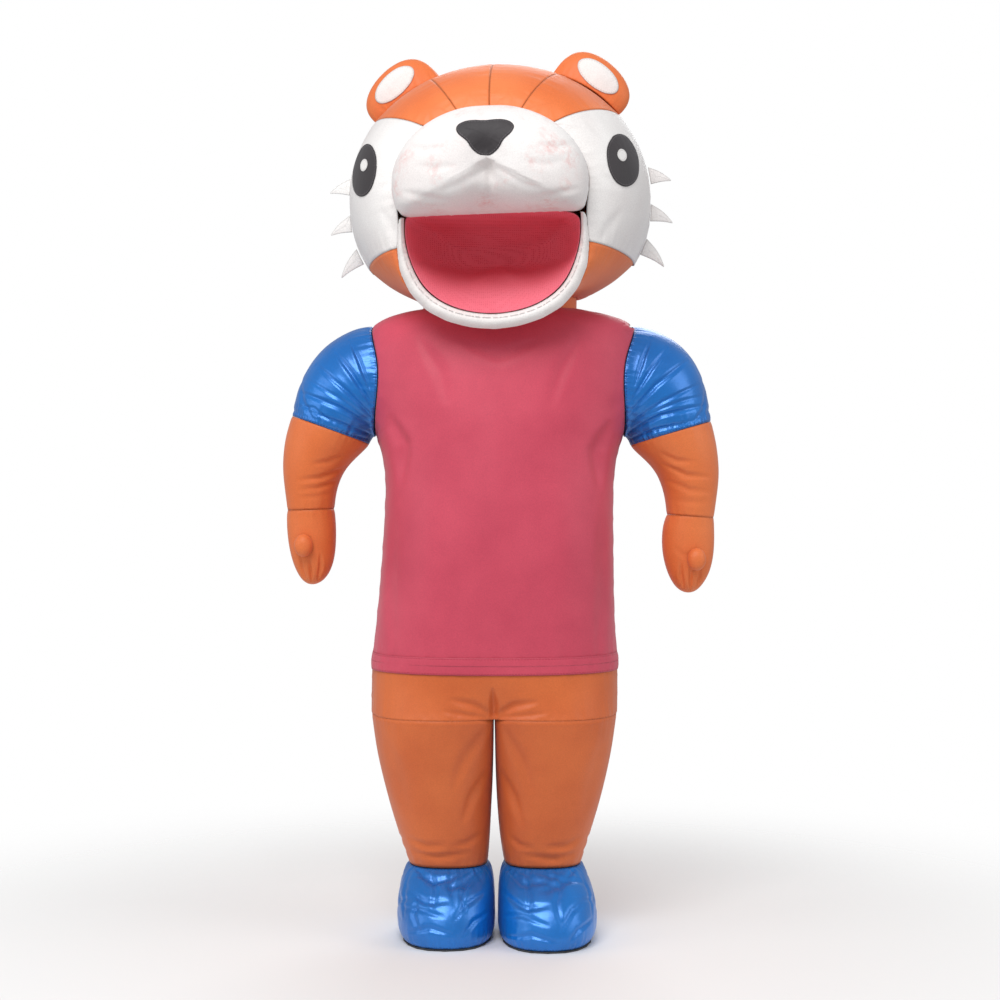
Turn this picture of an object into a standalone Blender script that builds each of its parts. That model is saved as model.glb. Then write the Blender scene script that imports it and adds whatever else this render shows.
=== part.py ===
"""Inflatable mascot costume: a hollow air-filled suit of sewn cloth, with a big cub's head, on its soles.

Metres, +Z up, the face towards -Y. Left and right are the wearer's, so the right arm lies at -X. Every
cloth piece is a wall of even thickness, and neighbours keep a narrow gap at their seam. The costume stands
on the floor with the middle of its outline over the origin.
"""

import math

import bmesh
import bpy
from mathutils import Matrix, Vector
from mathutils.bvhtree import BVHTree

CLOTH = 0.002
SEAM = 0.0003
PATCH_GAP = 0.0020
NOSE_GAP = 0.0032
HIGHLIGHT_GAP = 0.0009
SUPER = 2.4

# Shirt and hips: one row for each level, from under the hem to the neck, with its z, its right and left
# ends in x and its front and back ends in y
BODY = (
    (0.640, -0.330, 0.303, -0.246, 0.236),
    (0.700, -0.327, 0.301, -0.250, 0.240),
    (0.800, -0.315, 0.293, -0.262, 0.250),
    (0.940, -0.303, 0.291, -0.270, 0.255),
    (1.080, -0.294, 0.290, -0.268, 0.252),
    (1.170, -0.291, 0.290, -0.262, 0.245),
    (1.262, -0.317, 0.315, -0.257, 0.236),
    (1.360, -0.344, 0.347, -0.249, 0.225),
    (1.460, -0.347, 0.353, -0.236, 0.214),
    (1.530, -0.336, 0.351, -0.213, 0.200),
    (1.564, -0.292, 0.305, -0.192, 0.184),
    (1.577, -0.240, 0.245, -0.178, 0.174),
    (1.582, -0.200, 0.200, -0.170, 0.170),
)
SHIRT_BOTTOM = 0.700
HEM_BAND = (0.672, 0.716)
ARMHOLE_Z = 1.405
ARMHOLE_HALF_HEIGHT = 0.143
ARMHOLE_HALF_DEPTH = 0.150
ARMHOLE_LEVELS = (-1.0, -0.88, -0.6, -0.2, 0.25, 0.65, 0.9, 1.0)
LEVELS_BELOW_ARMHOLE = (0.700, 0.800, 0.920, 1.040, 1.150, 1.215)
ROWS_ABOVE_ARMHOLE = 3
FRONT_COLUMNS = 7
BACK_FRACTIONS = (0.0, 0.17, 0.34, 0.51, 0.68, 0.85, 0.976, 1.0)

# Back zip
ZIP_BOTTOM = 0.800
ZIP_TOP = 1.535
SLIDER_LEVEL = 1.500
ZIP_HALF_GAP = 0.003
TAPE_WIDTH = 0.014
TAPE_CLOTH = 0.0012
TAPE_GAP = 0.0008
SLIDER_SIZE = (0.012, 0.003, 0.018)
PIN_RADIUS = 0.0009
PIN_CLEARANCE = 0.0004
PIN_STANDS_OFF = 0.0038
PIN_RISE = 0.002
LUG_SIZE = (0.0016, 0.0016, 0.0026)
PULL_SIZE = (0.0080, 0.0034, 0.042)
PULL_TOP = 0.0022

# Arms: one row for each ring, from the armhole to the fingers, with the x and z of the ring's inner end,
# those of its outer end, and half its depth
SLEEVES = {
    "right": (
        (-0.3215, 1.2585, -0.388, 1.536, 0.152),
        (-0.3250, 1.2545, -0.450, 1.500, 0.151),
        (-0.3280, 1.2505, -0.497, 1.440, 0.146),
        (-0.3300, 1.2465, -0.524, 1.375, 0.136),
        (-0.3310, 1.2420, -0.535, 1.316, 0.122),
    ),
    "left": (
        (0.3195, 1.2585, 0.405, 1.536, 0.152),
        (0.3230, 1.2535, 0.461, 1.506, 0.151),
        (0.3265, 1.2485, 0.507, 1.452, 0.146),
        (0.3290, 1.2435, 0.533, 1.380, 0.136),
        (0.3305, 1.2385, 0.543, 1.302, 0.122),
    ),
}
ARMS = {
    "right": (
        (-0.3440, 1.2270, -0.5510, 1.2690, 0.115),
        (-0.3700, 1.2040, -0.5580, 1.2200, 0.103),
        (-0.3980, 1.1740, -0.5590, 1.1740, 0.091),
        (-0.4170, 1.1270, -0.5530, 1.1250, 0.078),
        (-0.4230, 1.0770, -0.5460, 1.0730, 0.066),
    ),
    "left": (
        (0.3440, 1.2230, 0.5560, 1.2540, 0.115),
        (0.3730, 1.1990, 0.5620, 1.2060, 0.103),
        (0.4020, 1.1660, 0.5640, 1.1600, 0.091),
        (0.4200, 1.1120, 0.5570, 1.1060, 0.078),
        (0.4256, 1.0630, 0.5490, 1.0540, 0.066),
    ),
}
HANDS = {
    "right": (
        (-0.4225, 1.0760, -0.5465, 1.0720, 0.0655),
        (-0.4180, 1.0480, -0.5490, 1.0450, 0.064),
        (-0.4170, 0.9900, -0.5450, 0.9900, 0.063),
        (-0.4240, 0.9350, -0.5320, 0.9350, 0.055),
        (-0.4450, 0.8980, -0.5120, 0.8980, 0.038),
        (-0.4660, 0.8860, -0.4950, 0.8860, 0.018),
    ),
    "left": (
        (0.4252, 1.0620, 0.5495, 1.0530, 0.0655),
        (0.4130, 1.0320, 0.5510, 1.0320, 0.064),
        (0.4110, 0.9720, 0.5520, 0.9720, 0.063),
        (0.4250, 0.9150, 0.5410, 0.9150, 0.055),
        (0.4470, 0.8770, 0.5160, 0.8770, 0.038),
        (0.4670, 0.8650, 0.4980, 0.8650, 0.018),
    ),
}
HAND_TIP_Z = {"right": 0.883, "left": 0.862}
THUMB = {"right": (-0.497, 0.985), "left": (0.497, 0.950)}
THUMB_HALF_SIZE = (0.025, 0.030)
THUMB_HEIGHT = 0.030
SLEEVE_CROWN = 0.004

# Legs: one row for each ring, with its z, its outer and inner ends in x and its front and back ends in y.
# The inner side is cut off flat at the middle, where the thighs press together
CROTCH_X = -0.0145
THIGH_GAP = 0.0015
LEG_POINTS = 20
LEGS = {
    "right": (
        (0.560, -0.329, 0.060, -0.238, 0.228),
        (0.470, -0.319, 0.022, -0.210, 0.200),
        (0.373, -0.295, -0.017, -0.176, 0.166),
        (0.310, -0.278, -0.021, -0.156, 0.148),
        (0.240, -0.256, -0.024, -0.135, 0.127),
        (0.178, -0.233, -0.030, -0.115, 0.105),
    ),
    "left": (
        (0.560, 0.300, -0.089, -0.238, 0.228),
        (0.470, 0.289, -0.051, -0.210, 0.200),
        (0.373, 0.267, -0.012, -0.176, 0.166),
        (0.310, 0.250, -0.008, -0.156, 0.148),
        (0.240, 0.228, -0.002, -0.135, 0.127),
        (0.178, 0.208, 0.010, -0.115, 0.105),
    ),
}
# Each row of the hips: how far up from crotch to hem it lies, and how much of the body's section it has
# taken on
SEAT_ROWS = ((0.0, 0.0), (0.35, 0.62), (0.75, 1.0), (1.0, 1.0))
SEAT_INSET = 0.0015

# Shoes: one row for each level from the ankle to the sole, with its z, its ends in x and its ends in y
SHOES = {
    "right": (
        (0.1775, -0.233, -0.0300, -0.115, 0.105),
        (0.1640, -0.244, -0.0190, -0.146, 0.119),
        (0.1350, -0.254, -0.0130, -0.197, 0.132),
        (0.0950, -0.260, -0.0110, -0.233, 0.140),
        (0.0550, -0.262, -0.0106, -0.248, 0.142),
        (0.0230, -0.258, -0.0115, -0.250, 0.140),
        (0.0042, -0.246, -0.0200, -0.240, 0.132),
    ),
    "left": (
        (0.1775, 0.010, 0.208, -0.115, 0.105),
        (0.1640, 0.001, 0.218, -0.152, 0.119),
        (0.1350, -0.005, 0.231, -0.213, 0.132),
        (0.0950, -0.007, 0.242, -0.255, 0.140),
        (0.0550, -0.0074, 0.247, -0.272, 0.142),
        (0.0230, -0.0065, 0.244, -0.275, 0.140),
        (0.0042, 0.003, 0.231, -0.263, 0.132),
    ),
}
SOLE_THICKNESS = 0.0039

# Head: a face rim at the front, the widest section at mid depth and a round back. Each row of a rim has a
# clock angle in degrees, 0 at the top, and the rim's radius there
HEAD_CENTRE = Vector((0.0, 0.02, 1.874))
HEAD_HALF_WIDTH = 0.388
HEAD_UP = 0.336
HEAD_DOWN = 0.283
HEAD_DOWN_SUPER = 2.7
JAW_RISE = 0.140
HEAD_FRONT = 0.330
HEAD_BACK = 0.350
HEAD_YAW = math.radians(-4.0)
HEAD_ROLL = math.radians(-1.5)
FACE_RIM = (
    (0, 0.157), (30, 0.172), (52, 0.193), (70, 0.215), (90, 0.236), (112.5, 0.243),
    (134, 0.315), (148, 0.350), (161, 0.362), (180, 0.366),
)
MOUTH_RIM = ((112.5, 0.228), (134, 0.279), (148, 0.311), (161, 0.324), (180, 0.328))
MOUTH_CORNER = 112.5
CHEEK_TOP = (50.0, 60.0)
CHEEK_BOTTOM = (125.0, 118.0)
CHEEK_BACK = 95.0
BACK_PANEL = 150.0
LIP_START = 2.4
LIP_ROLL = 0.020
LIP_PUCKER = 0.0022
LIP_PUCKERS = 12
MUZZLE_DEPTH = 0.175
MUZZLE_MIDDLE = Vector((0.0, -0.31, 1.893))
MOUTH_TOP = 1.786
MOUTH_DEPTH = 0.235
NECK_INSET = 0.0024
NECK_LEVELS = (1.560, 1.614)
NECK_CUT_BEYOND = 0.05
CHEEK_SPANS = 7
UNDER_SPANS = 12
CROWN_SPANS = 3
BACK_CLOCKS = (60.0, 118.0)
BACK_RING = 165.0
MUZZLE_ARC_SPANS = 18
MUZZLE_LOWER_SPANS = 10
MUZZLE_ROWS = (0.0, 0.10, 0.24, 0.42, 0.60, 0.78, 0.92)
MUZZLE_CREASE = (0.035, 0.045, 0.022)
LINING_MIDDLE_Z = 1.690
LINING_ROWS = (0.0, 0.12, 0.28, 0.48, 0.68, 0.86)
LINING_SPANS = (20, 8)
SWELLING_Z = 1.600
SWELLING_SIZE = (0.085, 0.075, 0.065)

# Ears, eyes, nose and tufts, placed on the head
EAR_CLOCK = 41.5
EAR_DEPTH_ANGLE = 86.0
EAR_HALF_WIDTH = 0.102
EAR_HALF_DEPTH = 0.045
EAR_HEIGHT = 0.086
EAR_INNER_MIDDLE = 0.036
EAR_INNER_HALF = (0.064, 0.032)
DOME_PROFILE = ((0.0, 1.0), (0.30, 1.03), (0.62, 0.94), (0.85, 0.68), (0.97, 0.34))
EYE_CENTRE = (0.318, 1.918)
EYE_HALF = (0.040, 0.070)
HIGHLIGHT_HALF = (0.012, 0.017)
HIGHLIGHT_RISE = 0.010
NOSE_TOP = 2.000
NOSE_HALF = (0.078, 0.052)
TUFT_CLOCKS = (84.0, 98.0, 111.0)
TUFT_LENGTHS = (0.055, 0.060, 0.072)
TUFT_HALF_WIDTH = 0.022
TUFT_THICKNESS = 0.006
TUFT_GAP = 0.0016
TUFT_DEPTH_ANGLE = 84.0
TUFT_DROOP = 0.40
TUFT_LEAN_BACK = 0.012
TUFT_RINGS = ((0.0, 1.0), (0.5, 0.62), (0.85, 0.22))
RAY_START = 0.5

COLOURS = {
    "orange_cloth": ((0.86, 0.30, 0.09), 0.55, 0.0),
    "red_cloth": ((0.68, 0.07, 0.11), 0.60, 0.0),
    "blue_satin": ((0.01, 0.15, 0.52), 0.35, 0.0),
    "white_cloth": ((0.84, 0.80, 0.77), 0.60, 0.0),
    "charcoal_cloth": ((0.03, 0.025, 0.028), 0.60, 0.0),
    "mouth_mesh": ((0.74, 0.09, 0.15), 0.65, 0.0),
    "sole_rubber": ((0.02, 0.022, 0.03), 0.75, 0.0),
    "zip_metal": ((0.55, 0.54, 0.52), 0.35, 1.0),
    "zip_tape": ((0.50, 0.05, 0.08), 0.70, 0.0),
}


def clear_scene():
    for old in list(bpy.data.objects):
        bpy.data.objects.remove(old, do_unlink=True)


def material(name):
    found = bpy.data.materials.get(name)
    if found:
        return found
    colour, roughness, metallic = COLOURS[name]
    made = bpy.data.materials.new(name)
    made.use_nodes = True
    shader = made.node_tree.nodes["Principled BSDF"]
    shader.inputs["Base Color"].default_value = (*colour, 1.0)
    shader.inputs["Roughness"].default_value = roughness
    shader.inputs["Metallic"].default_value = metallic
    return made


def between(table, key):
    """A row of the table at a value of its first column, on a smooth curve through the rows."""
    rising = sorted(table)
    if key <= rising[0][0]:
        return rising[0]
    if key >= rising[-1][0]:
        return rising[-1]
    at = max(i for i in range(len(rising) - 1) if rising[i][0] <= key)
    low, high = rising[at], rising[at + 1]
    before = rising[max(at - 1, 0)]
    after = rising[min(at + 2, len(rising) - 1)]
    step = high[0] - low[0]
    share = (key - low[0]) / step
    row = [key]
    for n in range(1, len(low)):
        slope = (high[n] - low[n]) / step
        low_slope = (high[n] - before[n]) / (high[0] - before[0])
        high_slope = (after[n] - low[n]) / (after[0] - low[0])
        if (high[n] - low[n]) * (low[n] - before[n]) <= 0 and at > 0:
            low_slope = 0.0
        if (after[n] - high[n]) * (high[n] - low[n]) <= 0 and at + 2 < len(rising):
            high_slope = 0.0
        bend = share * (1 - share)
        lift = bend * ((low_slope - slope) * (1 - share) - (high_slope - slope) * share)
        row.append(low[n] + slope * step * share + lift * step)
    return tuple(row)


def powered(value, power):
    return math.copysign(abs(value) ** power, value)


def body_point(z, angle):
    """A point on the shirt's outside. Angle 0 is the left side, a quarter turn is the back."""
    _, x_right, x_left, y_front, y_back = between(BODY, z)
    middle = Vector(((x_right + x_left) / 2, (y_front + y_back) / 2, z))
    across = (x_left - x_right) / 2 * powered(math.cos(angle), 2 / SUPER)
    deep = (y_back - y_front) / 2 * powered(math.sin(angle), 2 / SUPER)
    return middle + Vector((across, deep, 0.0))


def body_normal(z, angle):
    step = 0.002
    along = body_point(z, angle + step) - body_point(z, angle - step)
    up = body_point(z + step, angle) - body_point(z - step, angle)
    return along.cross(up).normalized()


def armhole_depth(z):
    share = (z - ARMHOLE_Z) / ARMHOLE_HALF_HEIGHT
    return ARMHOLE_HALF_DEPTH * math.sqrt(max(0.0, 1.0 - share * share))


def armhole_angle(z, back):
    """How far round the section, from the side, the armhole's edge lies at this level."""
    depth = armhole_depth(z)
    if depth < 1e-6:
        return 0.0
    _, _, _, y_front, y_back = between(BODY, z)
    middle = (y_front + y_back) / 2
    reach = depth - middle if back else depth + middle
    share = min(1.0, max(0.0, reach / ((y_back - y_front) / 2)))
    return math.asin(share ** (SUPER / 2))


def finish(name, verts, faces, colour, smooth=True):
    mesh = bpy.data.meshes.new(name)
    mesh.from_pydata([tuple(v) for v in verts], [], faces)
    mesh.validate()
    shape = bmesh.new()
    shape.from_mesh(mesh)
    if shape.calc_volume(signed=True) < 0:
        bmesh.ops.reverse_faces(shape, faces=shape.faces)
    shape.to_mesh(mesh)
    shape.free()
    mesh.materials.append(material(colour))
    made = bpy.data.objects.new(name, mesh)
    bpy.context.scene.collection.objects.link(made)
    if smooth:
        mesh.shade_smooth()
        mesh.set_sharp_from_angle(angle=math.radians(50))
    return made


def grid_normals(rows, closed, inside):
    """Normals of a grid of points, turned away from the point inside."""
    count = len(rows[0])
    normals = []
    for i, row in enumerate(rows):
        line = []
        for j, point in enumerate(row):
            if closed:
                along = row[(j + 1) % count] - row[j - 1]
            else:
                along = row[min(j + 1, count - 1)] - row[max(j - 1, 0)]
            over = rows[min(i + 1, len(rows) - 1)][j] - rows[max(i - 1, 0)][j]
            line.append(along.cross(over).normalized())
        normals.append(line)
    sample = rows[len(rows) // 2][count // 3]
    if normals[len(rows) // 2][count // 3].dot(sample - inside) < 0:
        normals = [[-n for n in line] for line in normals]
    return normals


def cloth(name, rows, colour, inside, closed=False, tip=None, normals=None, thick=CLOTH):
    """A wall of cloth whose outside passes through the rows.

    A closed piece has loops for rows, and a tip closes the last one.
    """
    normals = normals or grid_normals(rows, closed, inside)
    count = len(rows[0])
    outer = [p for row in rows for p in row]
    inner = [p - n * thick for row, line in zip(rows, normals) for p, n in zip(row, line)]
    size = len(outer)
    verts = outer + inner
    faces = []
    spans = count if closed else count - 1
    for i in range(len(rows) - 1):
        for j in range(spans):
            a = i * count + j
            b = i * count + (j + 1) % count
            c, d = b + count, a + count
            faces.append((a, b, c, d))
            faces.append((d + size, c + size, b + size, a + size))
    last = (len(rows) - 1) * count
    for j in range(spans):
        a, b = j, (j + 1) % count
        faces.append((b, a, a + size, b + size))
        if tip is None:
            a, b = last + j, last + (j + 1) % count
            faces.append((a, b, b + size, a + size))
    if tip is not None:
        way = (tip - inside).normalized()
        verts += [tip, tip - way * thick]
        top, under = len(verts) - 2, len(verts) - 1
        for j in range(count):
            a, b = last + j, last + (j + 1) % count
            faces.append((a, b, top))
            faces.append((b + size, a + size, under))
    if not closed:
        for i in range(len(rows) - 1):
            a, b = i * count, (i + 1) * count
            faces.append((a, b, b + size, a + size))
            a, b = a + count - 1, b + count - 1
            faces.append((b, a, a + size, b + size))
    return finish(name, verts, faces, colour)


def pull_in(rows, first=0.0, last=0.0, left=0.0, right=0.0):
    """Moves the edges of a grid inwards along its own lines, to leave a seam's gap."""
    def nearer(point, other, distance):
        way = other - point
        return point + way.normalized() * min(distance, way.length * 0.4)

    if left:
        for row in rows:
            row[0] = nearer(row[0], row[1], left)
    if right:
        for row in rows:
            row[-1] = nearer(row[-1], row[-2], right)
    if first:
        rows[0] = [nearer(p, q, first) for p, q in zip(rows[0], rows[1])]
    if last:
        rows[-1] = [nearer(p, q, last) for p, q in zip(rows[-1], rows[-2])]
    return rows


def shirt_levels():
    armhole = [ARMHOLE_Z + ARMHOLE_HALF_HEIGHT * share for share in ARMHOLE_LEVELS]
    top = BODY[-1][0]
    above = []
    for n in range(1, ROWS_ABOVE_ARMHOLE + 1):
        turn = n / ROWS_ABOVE_ARMHOLE * math.pi / 2
        above.append(armhole[-1] + (top - armhole[-1]) * math.sin(turn))
    return list(LEVELS_BELOW_ARMHOLE) + armhole + above


def shirt_front():
    rows, normals = [], []
    for z in shirt_levels():
        edge = armhole_angle(z, back=False)
        step = (math.pi - 2 * edge) / (2 * FRONT_COLUMNS)
        angles = [math.pi + edge + step * n for n in range(2 * FRONT_COLUMNS + 1)]
        rows.append([body_point(z, a) for a in angles])
        normals.append([body_normal(z, a) for a in angles])
    rows = pull_in(rows, left=SEAM, right=SEAM, first=SEAM, last=SEAM)
    cloth("shirt_front", rows, "red_cloth", Vector((0, 0, 1.1)), normals=normals)


def back_angles(z):
    edge = armhole_angle(z, back=True)
    return [edge + (math.pi / 2 - edge) * share for share in BACK_FRACTIONS]


def shirt_back(side):
    rows, normals = [], []
    for z in shirt_levels():
        angles = back_angles(z)
        if side == "right":
            angles = [math.pi - a for a in angles]
        row = [body_point(z, a) for a in angles]
        half = ZIP_HALF_GAP if ZIP_BOTTOM <= z <= ZIP_TOP else SEAM
        sign = 1 if side == "left" else -1
        row[-1] = row[-1] + Vector((sign * half, 0, 0))
        rows.append(row)
        normals.append([body_normal(z, a) for a in angles])
    rows = pull_in(rows, left=SEAM, first=SEAM, last=SEAM)
    cloth("shirt_back_" + side, rows, "red_cloth", Vector((0, 0, 1.1)), normals=normals)


def zip_tape(side):
    sign = 1 if side == "left" else -1
    rows, normals = [], []
    for z in shirt_levels():
        if not ZIP_BOTTOM <= z <= ZIP_TOP:
            continue
        out = body_normal(z, math.pi / 2)
        centre = body_point(z, math.pi / 2) - out * (CLOTH + 2 * SEAM)
        rows.append([centre + Vector((sign * x, 0, 0)) for x in (TAPE_GAP, TAPE_GAP + TAPE_WIDTH)])
        normals.append([out, out])
    rows = pull_in(rows, first=SEAM, last=SEAM)
    cloth("zip_tape_" + side, rows, "zip_tape", Vector((0, 0, 1.1)), normals=normals, thick=TAPE_CLOTH)


def section_angles():
    back = [math.pi / 2 * share for share in BACK_FRACTIONS]
    other = [math.pi - a for a in reversed(back[:-1])]
    front = [math.pi + math.pi * n / (2 * FRONT_COLUMNS) for n in range(1, 2 * FRONT_COLUMNS)]
    return back + other + front


def hem_band():
    angles = section_angles()
    lift = CLOTH + 2 * SEAM
    rows = []
    for share in (0.0, 0.5, 1.0):
        z = HEM_BAND[0] + (HEM_BAND[1] - HEM_BAND[0]) * share
        roll = 0.002 * math.sin(math.pi * share)
        rows.append([body_point(z, a) + body_normal(z, a) * (lift + roll) for a in angles])
    normals = [[body_normal(p[0].z, a) for a in angles] for p in rows]
    cloth("hem_band", rows, "red_cloth", Vector((0, 0, 0.7)), closed=True, normals=normals, thick=CLOTH)


def leg_ring(side, row):
    """Points round one leg, from its outer side by the front to the inner side and back."""
    z, x_outer, x_inner, y_front, y_back = row
    sign = -1 if side == "right" else 1
    limit = CROTCH_X + sign * THIGH_GAP
    ring = []
    for n in range(LEG_POINTS):
        turn = 2 * math.pi * n / LEG_POINTS
        share_x = powered(math.cos(turn), 2 / SUPER)
        share_y = powered(math.sin(turn), 2 / SUPER)
        x = (x_outer + x_inner) / 2 + (x_outer - x_inner) / 2 * share_x
        x = min(x, limit) if side == "right" else max(x, limit)
        y = (y_front + y_back) / 2 - (y_back - y_front) / 2 * share_y
        ring.append(Vector((x, y, z)))
    return ring


def level_ends(normals, ends):
    """Turns the normals of some rows level, so that two walls that meet there at an angle stay apart."""
    for end in ends:
        normals[end] = [Vector((n.x, n.y, 0)).normalized() for n in normals[end]]
    return normals


def leg(side):
    rows = [leg_ring(side, row) for row in LEGS[side]]
    rows = pull_in(rows, first=SEAM, last=SEAM)
    middle = (LEGS[side][2][1] + LEGS[side][2][2]) / 2
    inside = Vector((middle, 0, 0.35))
    normals = level_ends(grid_normals(rows, True, inside), (0, -1))
    cloth("leg_" + side, rows, "orange_cloth", inside, closed=True, normals=normals)


def seat(name, back):
    """The hips between the hem and the crotch, front or back, whose lower edge is that of the two legs."""
    steps = FRONT_COLUMNS
    right = leg_ring("right", LEGS["right"][0])
    left = leg_ring("left", LEGS["left"][0])
    if back:
        lower = [right[-n % LEG_POINTS] for n in range(steps + 1)]
        lower += [left[-n % LEG_POINTS] for n in range(steps, -1, -1)]
        upper = [math.pi - math.pi / 2 * share for share in BACK_FRACTIONS]
        upper += [math.pi / 2 * share for share in reversed(BACK_FRACTIONS)]
    else:
        lower = [right[n] for n in range(steps + 1)] + [left[n] for n in range(steps, -1, -1)]
        shares = [n / steps for n in range(steps + 1)]
        upper = [math.pi + math.pi / 2 * share for share in shares]
        upper += [2 * math.pi - math.pi / 2 * share for share in reversed(shares)]
    top = SHIRT_BOTTOM - SEAM
    rows = []
    for rise, ease in SEAT_ROWS:
        z = lower[0].z + (top - lower[0].z) * rise
        row = []
        for low, angle in zip(lower, upper):
            high = body_point(z, angle) - body_normal(z, angle) * SEAT_INSET
            point = low.lerp(high, ease)
            row.append(Vector((point.x, point.y, z)))
        rows.append(row)
    for row in rows:
        row[steps].x = CROTCH_X - THIGH_GAP
        row[steps + 1].x = CROTCH_X + THIGH_GAP
    rows = pull_in(rows, first=SEAM, left=SEAM, right=SEAM)
    inside = Vector((0, 0, 0.62))
    normals = level_ends(grid_normals(rows, False, inside), (0,))
    cloth(name, rows, "orange_cloth", inside, normals=normals)


def limb_turns():
    """Where the points lie round a limb, so that they meet the shirt's levels at the armhole."""
    half = [math.acos(max(-1.0, min(1.0, share))) for share in reversed(ARMHOLE_LEVELS)]
    return half + [2 * math.pi - turn for turn in reversed(half[1:-1])]


def limb_ring(row):
    x_inner, z_inner, x_outer, z_outer, half_depth = row
    inner, outer = Vector((x_inner, 0, z_inner)), Vector((x_outer, 0, z_outer))
    middle, reach = (inner + outer) / 2, (outer - inner) / 2
    return [middle + reach * math.cos(t) + Vector((0, -half_depth * math.sin(t), 0)) for t in limb_turns()]


def armhole_ring(side):
    ring = []
    for turn in limb_turns():
        z = ARMHOLE_Z + ARMHOLE_HALF_HEIGHT * math.cos(turn)
        back = math.sin(turn) < 0
        angle = armhole_angle(z, back)
        if side == "left":
            angle = angle if back else -angle
        else:
            angle = math.pi - angle if back else math.pi + angle
        ring.append(body_point(z, angle))
    return ring


def arm_and_sleeve(side):
    """The short sleeve from the armhole to its hem, and the arm below it, on one line of rings."""
    sign = -1 if side == "right" else 1
    first = [p + Vector((sign * 3 * SEAM, 0, 0)) for p in armhole_ring(side)]
    rings = [limb_ring(row) for row in SLEEVES[side]]
    second = [a.lerp(b, 0.45) for a, b in zip(first, rings[0])]
    second = [p + Vector((0, 0, SLEEVE_CROWN * math.cos(t))) for p, t in zip(second, limb_turns())]
    rows = [first, second] + rings + [limb_ring(row) for row in ARMS[side]]
    hem = len(rings) + 1
    elbow = Vector((sign * 0.42, 0, 1.30))
    normals = grid_normals(rows, True, elbow)
    sleeve_rows = pull_in(rows[:hem + 1], last=SEAM)
    arm_rows = pull_in(rows[hem:], first=SEAM)
    cloth("sleeve_" + side, sleeve_rows, "blue_satin", elbow, closed=True, normals=normals[:hem + 1])
    cloth("arm_" + side, arm_rows, "orange_cloth", elbow, closed=True, normals=normals[hem:])


def hand(side):
    rows = [limb_ring(row) for row in HANDS[side]]
    sign = -1 if side == "right" else 1
    tip = Vector(((HANDS[side][-1][0] + HANDS[side][-1][2]) / 2, 0, HAND_TIP_Z[side]))
    return cloth("hand_" + side, rows, "orange_cloth", Vector((sign * 0.48, 0, 0.97)), closed=True, tip=tip)


def shoe(side):
    rows = []
    for z, x_min, x_max, y_front, y_back in SHOES[side]:
        middle = Vector(((x_min + x_max) / 2, (y_front + y_back) / 2, z))
        row = []
        for n in range(LEG_POINTS):
            turn = 2 * math.pi * n / LEG_POINTS
            across = (x_max - x_min) / 2 * powered(math.cos(turn), 2 / SUPER)
            deep = (y_back - y_front) / 2 * powered(math.sin(turn), 2 / SUPER)
            row.append(middle + Vector((across, deep, 0)))
        rows.append(row)
    inside = Vector(((SHOES[side][3][1] + SHOES[side][3][2]) / 2, -0.04, 0.09))
    cloth("shoe_" + side, rows, "blue_satin", inside, closed=True)
    outline = rows[-1]
    count = len(outline)
    low = [Vector((p.x, p.y, 0)) for p in outline]
    high = [Vector((p.x, p.y, SOLE_THICKNESS)) for p in outline]
    faces = [tuple(range(count)), tuple(reversed(range(count, 2 * count)))]
    faces += [(n, n + count, (n + 1) % count + count, (n + 1) % count) for n in range(count)]
    finish("sole_" + side, low + high, faces, "sole_rubber", smooth=False)


def turn_head(point):
    """From the head's own straight frame to its turned and tilted place on the shoulders."""
    pivot = Vector((0, 0, HEAD_CENTRE.z))
    turned = Matrix.Rotation(HEAD_YAW, 3, "Z") @ Matrix.Rotation(HEAD_ROLL, 3, "Y")
    return turned @ (point - pivot) + pivot


def unturn_head(point):
    pivot = Vector((0, 0, HEAD_CENTRE.z))
    turned = Matrix.Rotation(HEAD_YAW, 3, "Z") @ Matrix.Rotation(HEAD_ROLL, 3, "Y")
    return turned.inverted() @ (point - pivot) + pivot


def turn_way(way):
    """A direction in the head's own frame, turned with the head."""
    pivot = Vector((0, 0, HEAD_CENTRE.z))
    return (turn_head(way + pivot) - pivot).normalized()


def section_radius(clock):
    """The head's widest section as a radius by clock angle, 0 at the top."""
    across, up = abs(math.sin(clock)), math.cos(clock)
    power = 2.0 if up >= 0 else HEAD_DOWN_SUPER
    height = HEAD_UP if up >= 0 else HEAD_DOWN
    return ((across / HEAD_HALF_WIDTH) ** power + (abs(up) / height) ** power) ** (-1 / power)


def rim_radius(table, clock):
    turn = abs(math.degrees(math.atan2(math.sin(clock), math.cos(clock))))
    return between(table, turn)[1]


def head_point(clock_deg, depth_deg):
    """A point on the head. Depth 0 is the face rim, 90 the widest section and 180 the middle of the back."""
    clock, depth = math.radians(clock_deg), math.radians(depth_deg)
    wide = section_radius(clock)
    if depth_deg <= 90:
        rim = rim_radius(FACE_RIM, clock)
        y = HEAD_CENTRE.y - HEAD_FRONT * math.cos(depth)
        back = min(1.0, HEAD_FRONT * (1 - math.cos(depth)) / JAW_RISE)
        rise = back * back * (3 - 2 * back)
        radius = rim + max(wide - rim, 0.0) * math.sin(depth) + min(wide - rim, 0.0) * rise
    else:
        radius = wide * math.sin(depth)
        y = HEAD_CENTRE.y - HEAD_BACK * math.cos(depth)
    return Vector((radius * math.sin(clock), y, HEAD_CENTRE.z + radius * math.cos(clock)))


def head_normal(clock_deg, depth_deg):
    step = 0.4
    along = head_point(clock_deg + step, depth_deg) - head_point(clock_deg - step, depth_deg)
    low, high = max(depth_deg - step, 0.0), min(depth_deg + step, 179.9)
    over = head_point(clock_deg, high) - head_point(clock_deg, low)
    normal = along.cross(over).normalized()
    outward = head_point(clock_deg, depth_deg) - HEAD_CENTRE
    return normal if normal.dot(outward) > 0 else -normal


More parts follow.
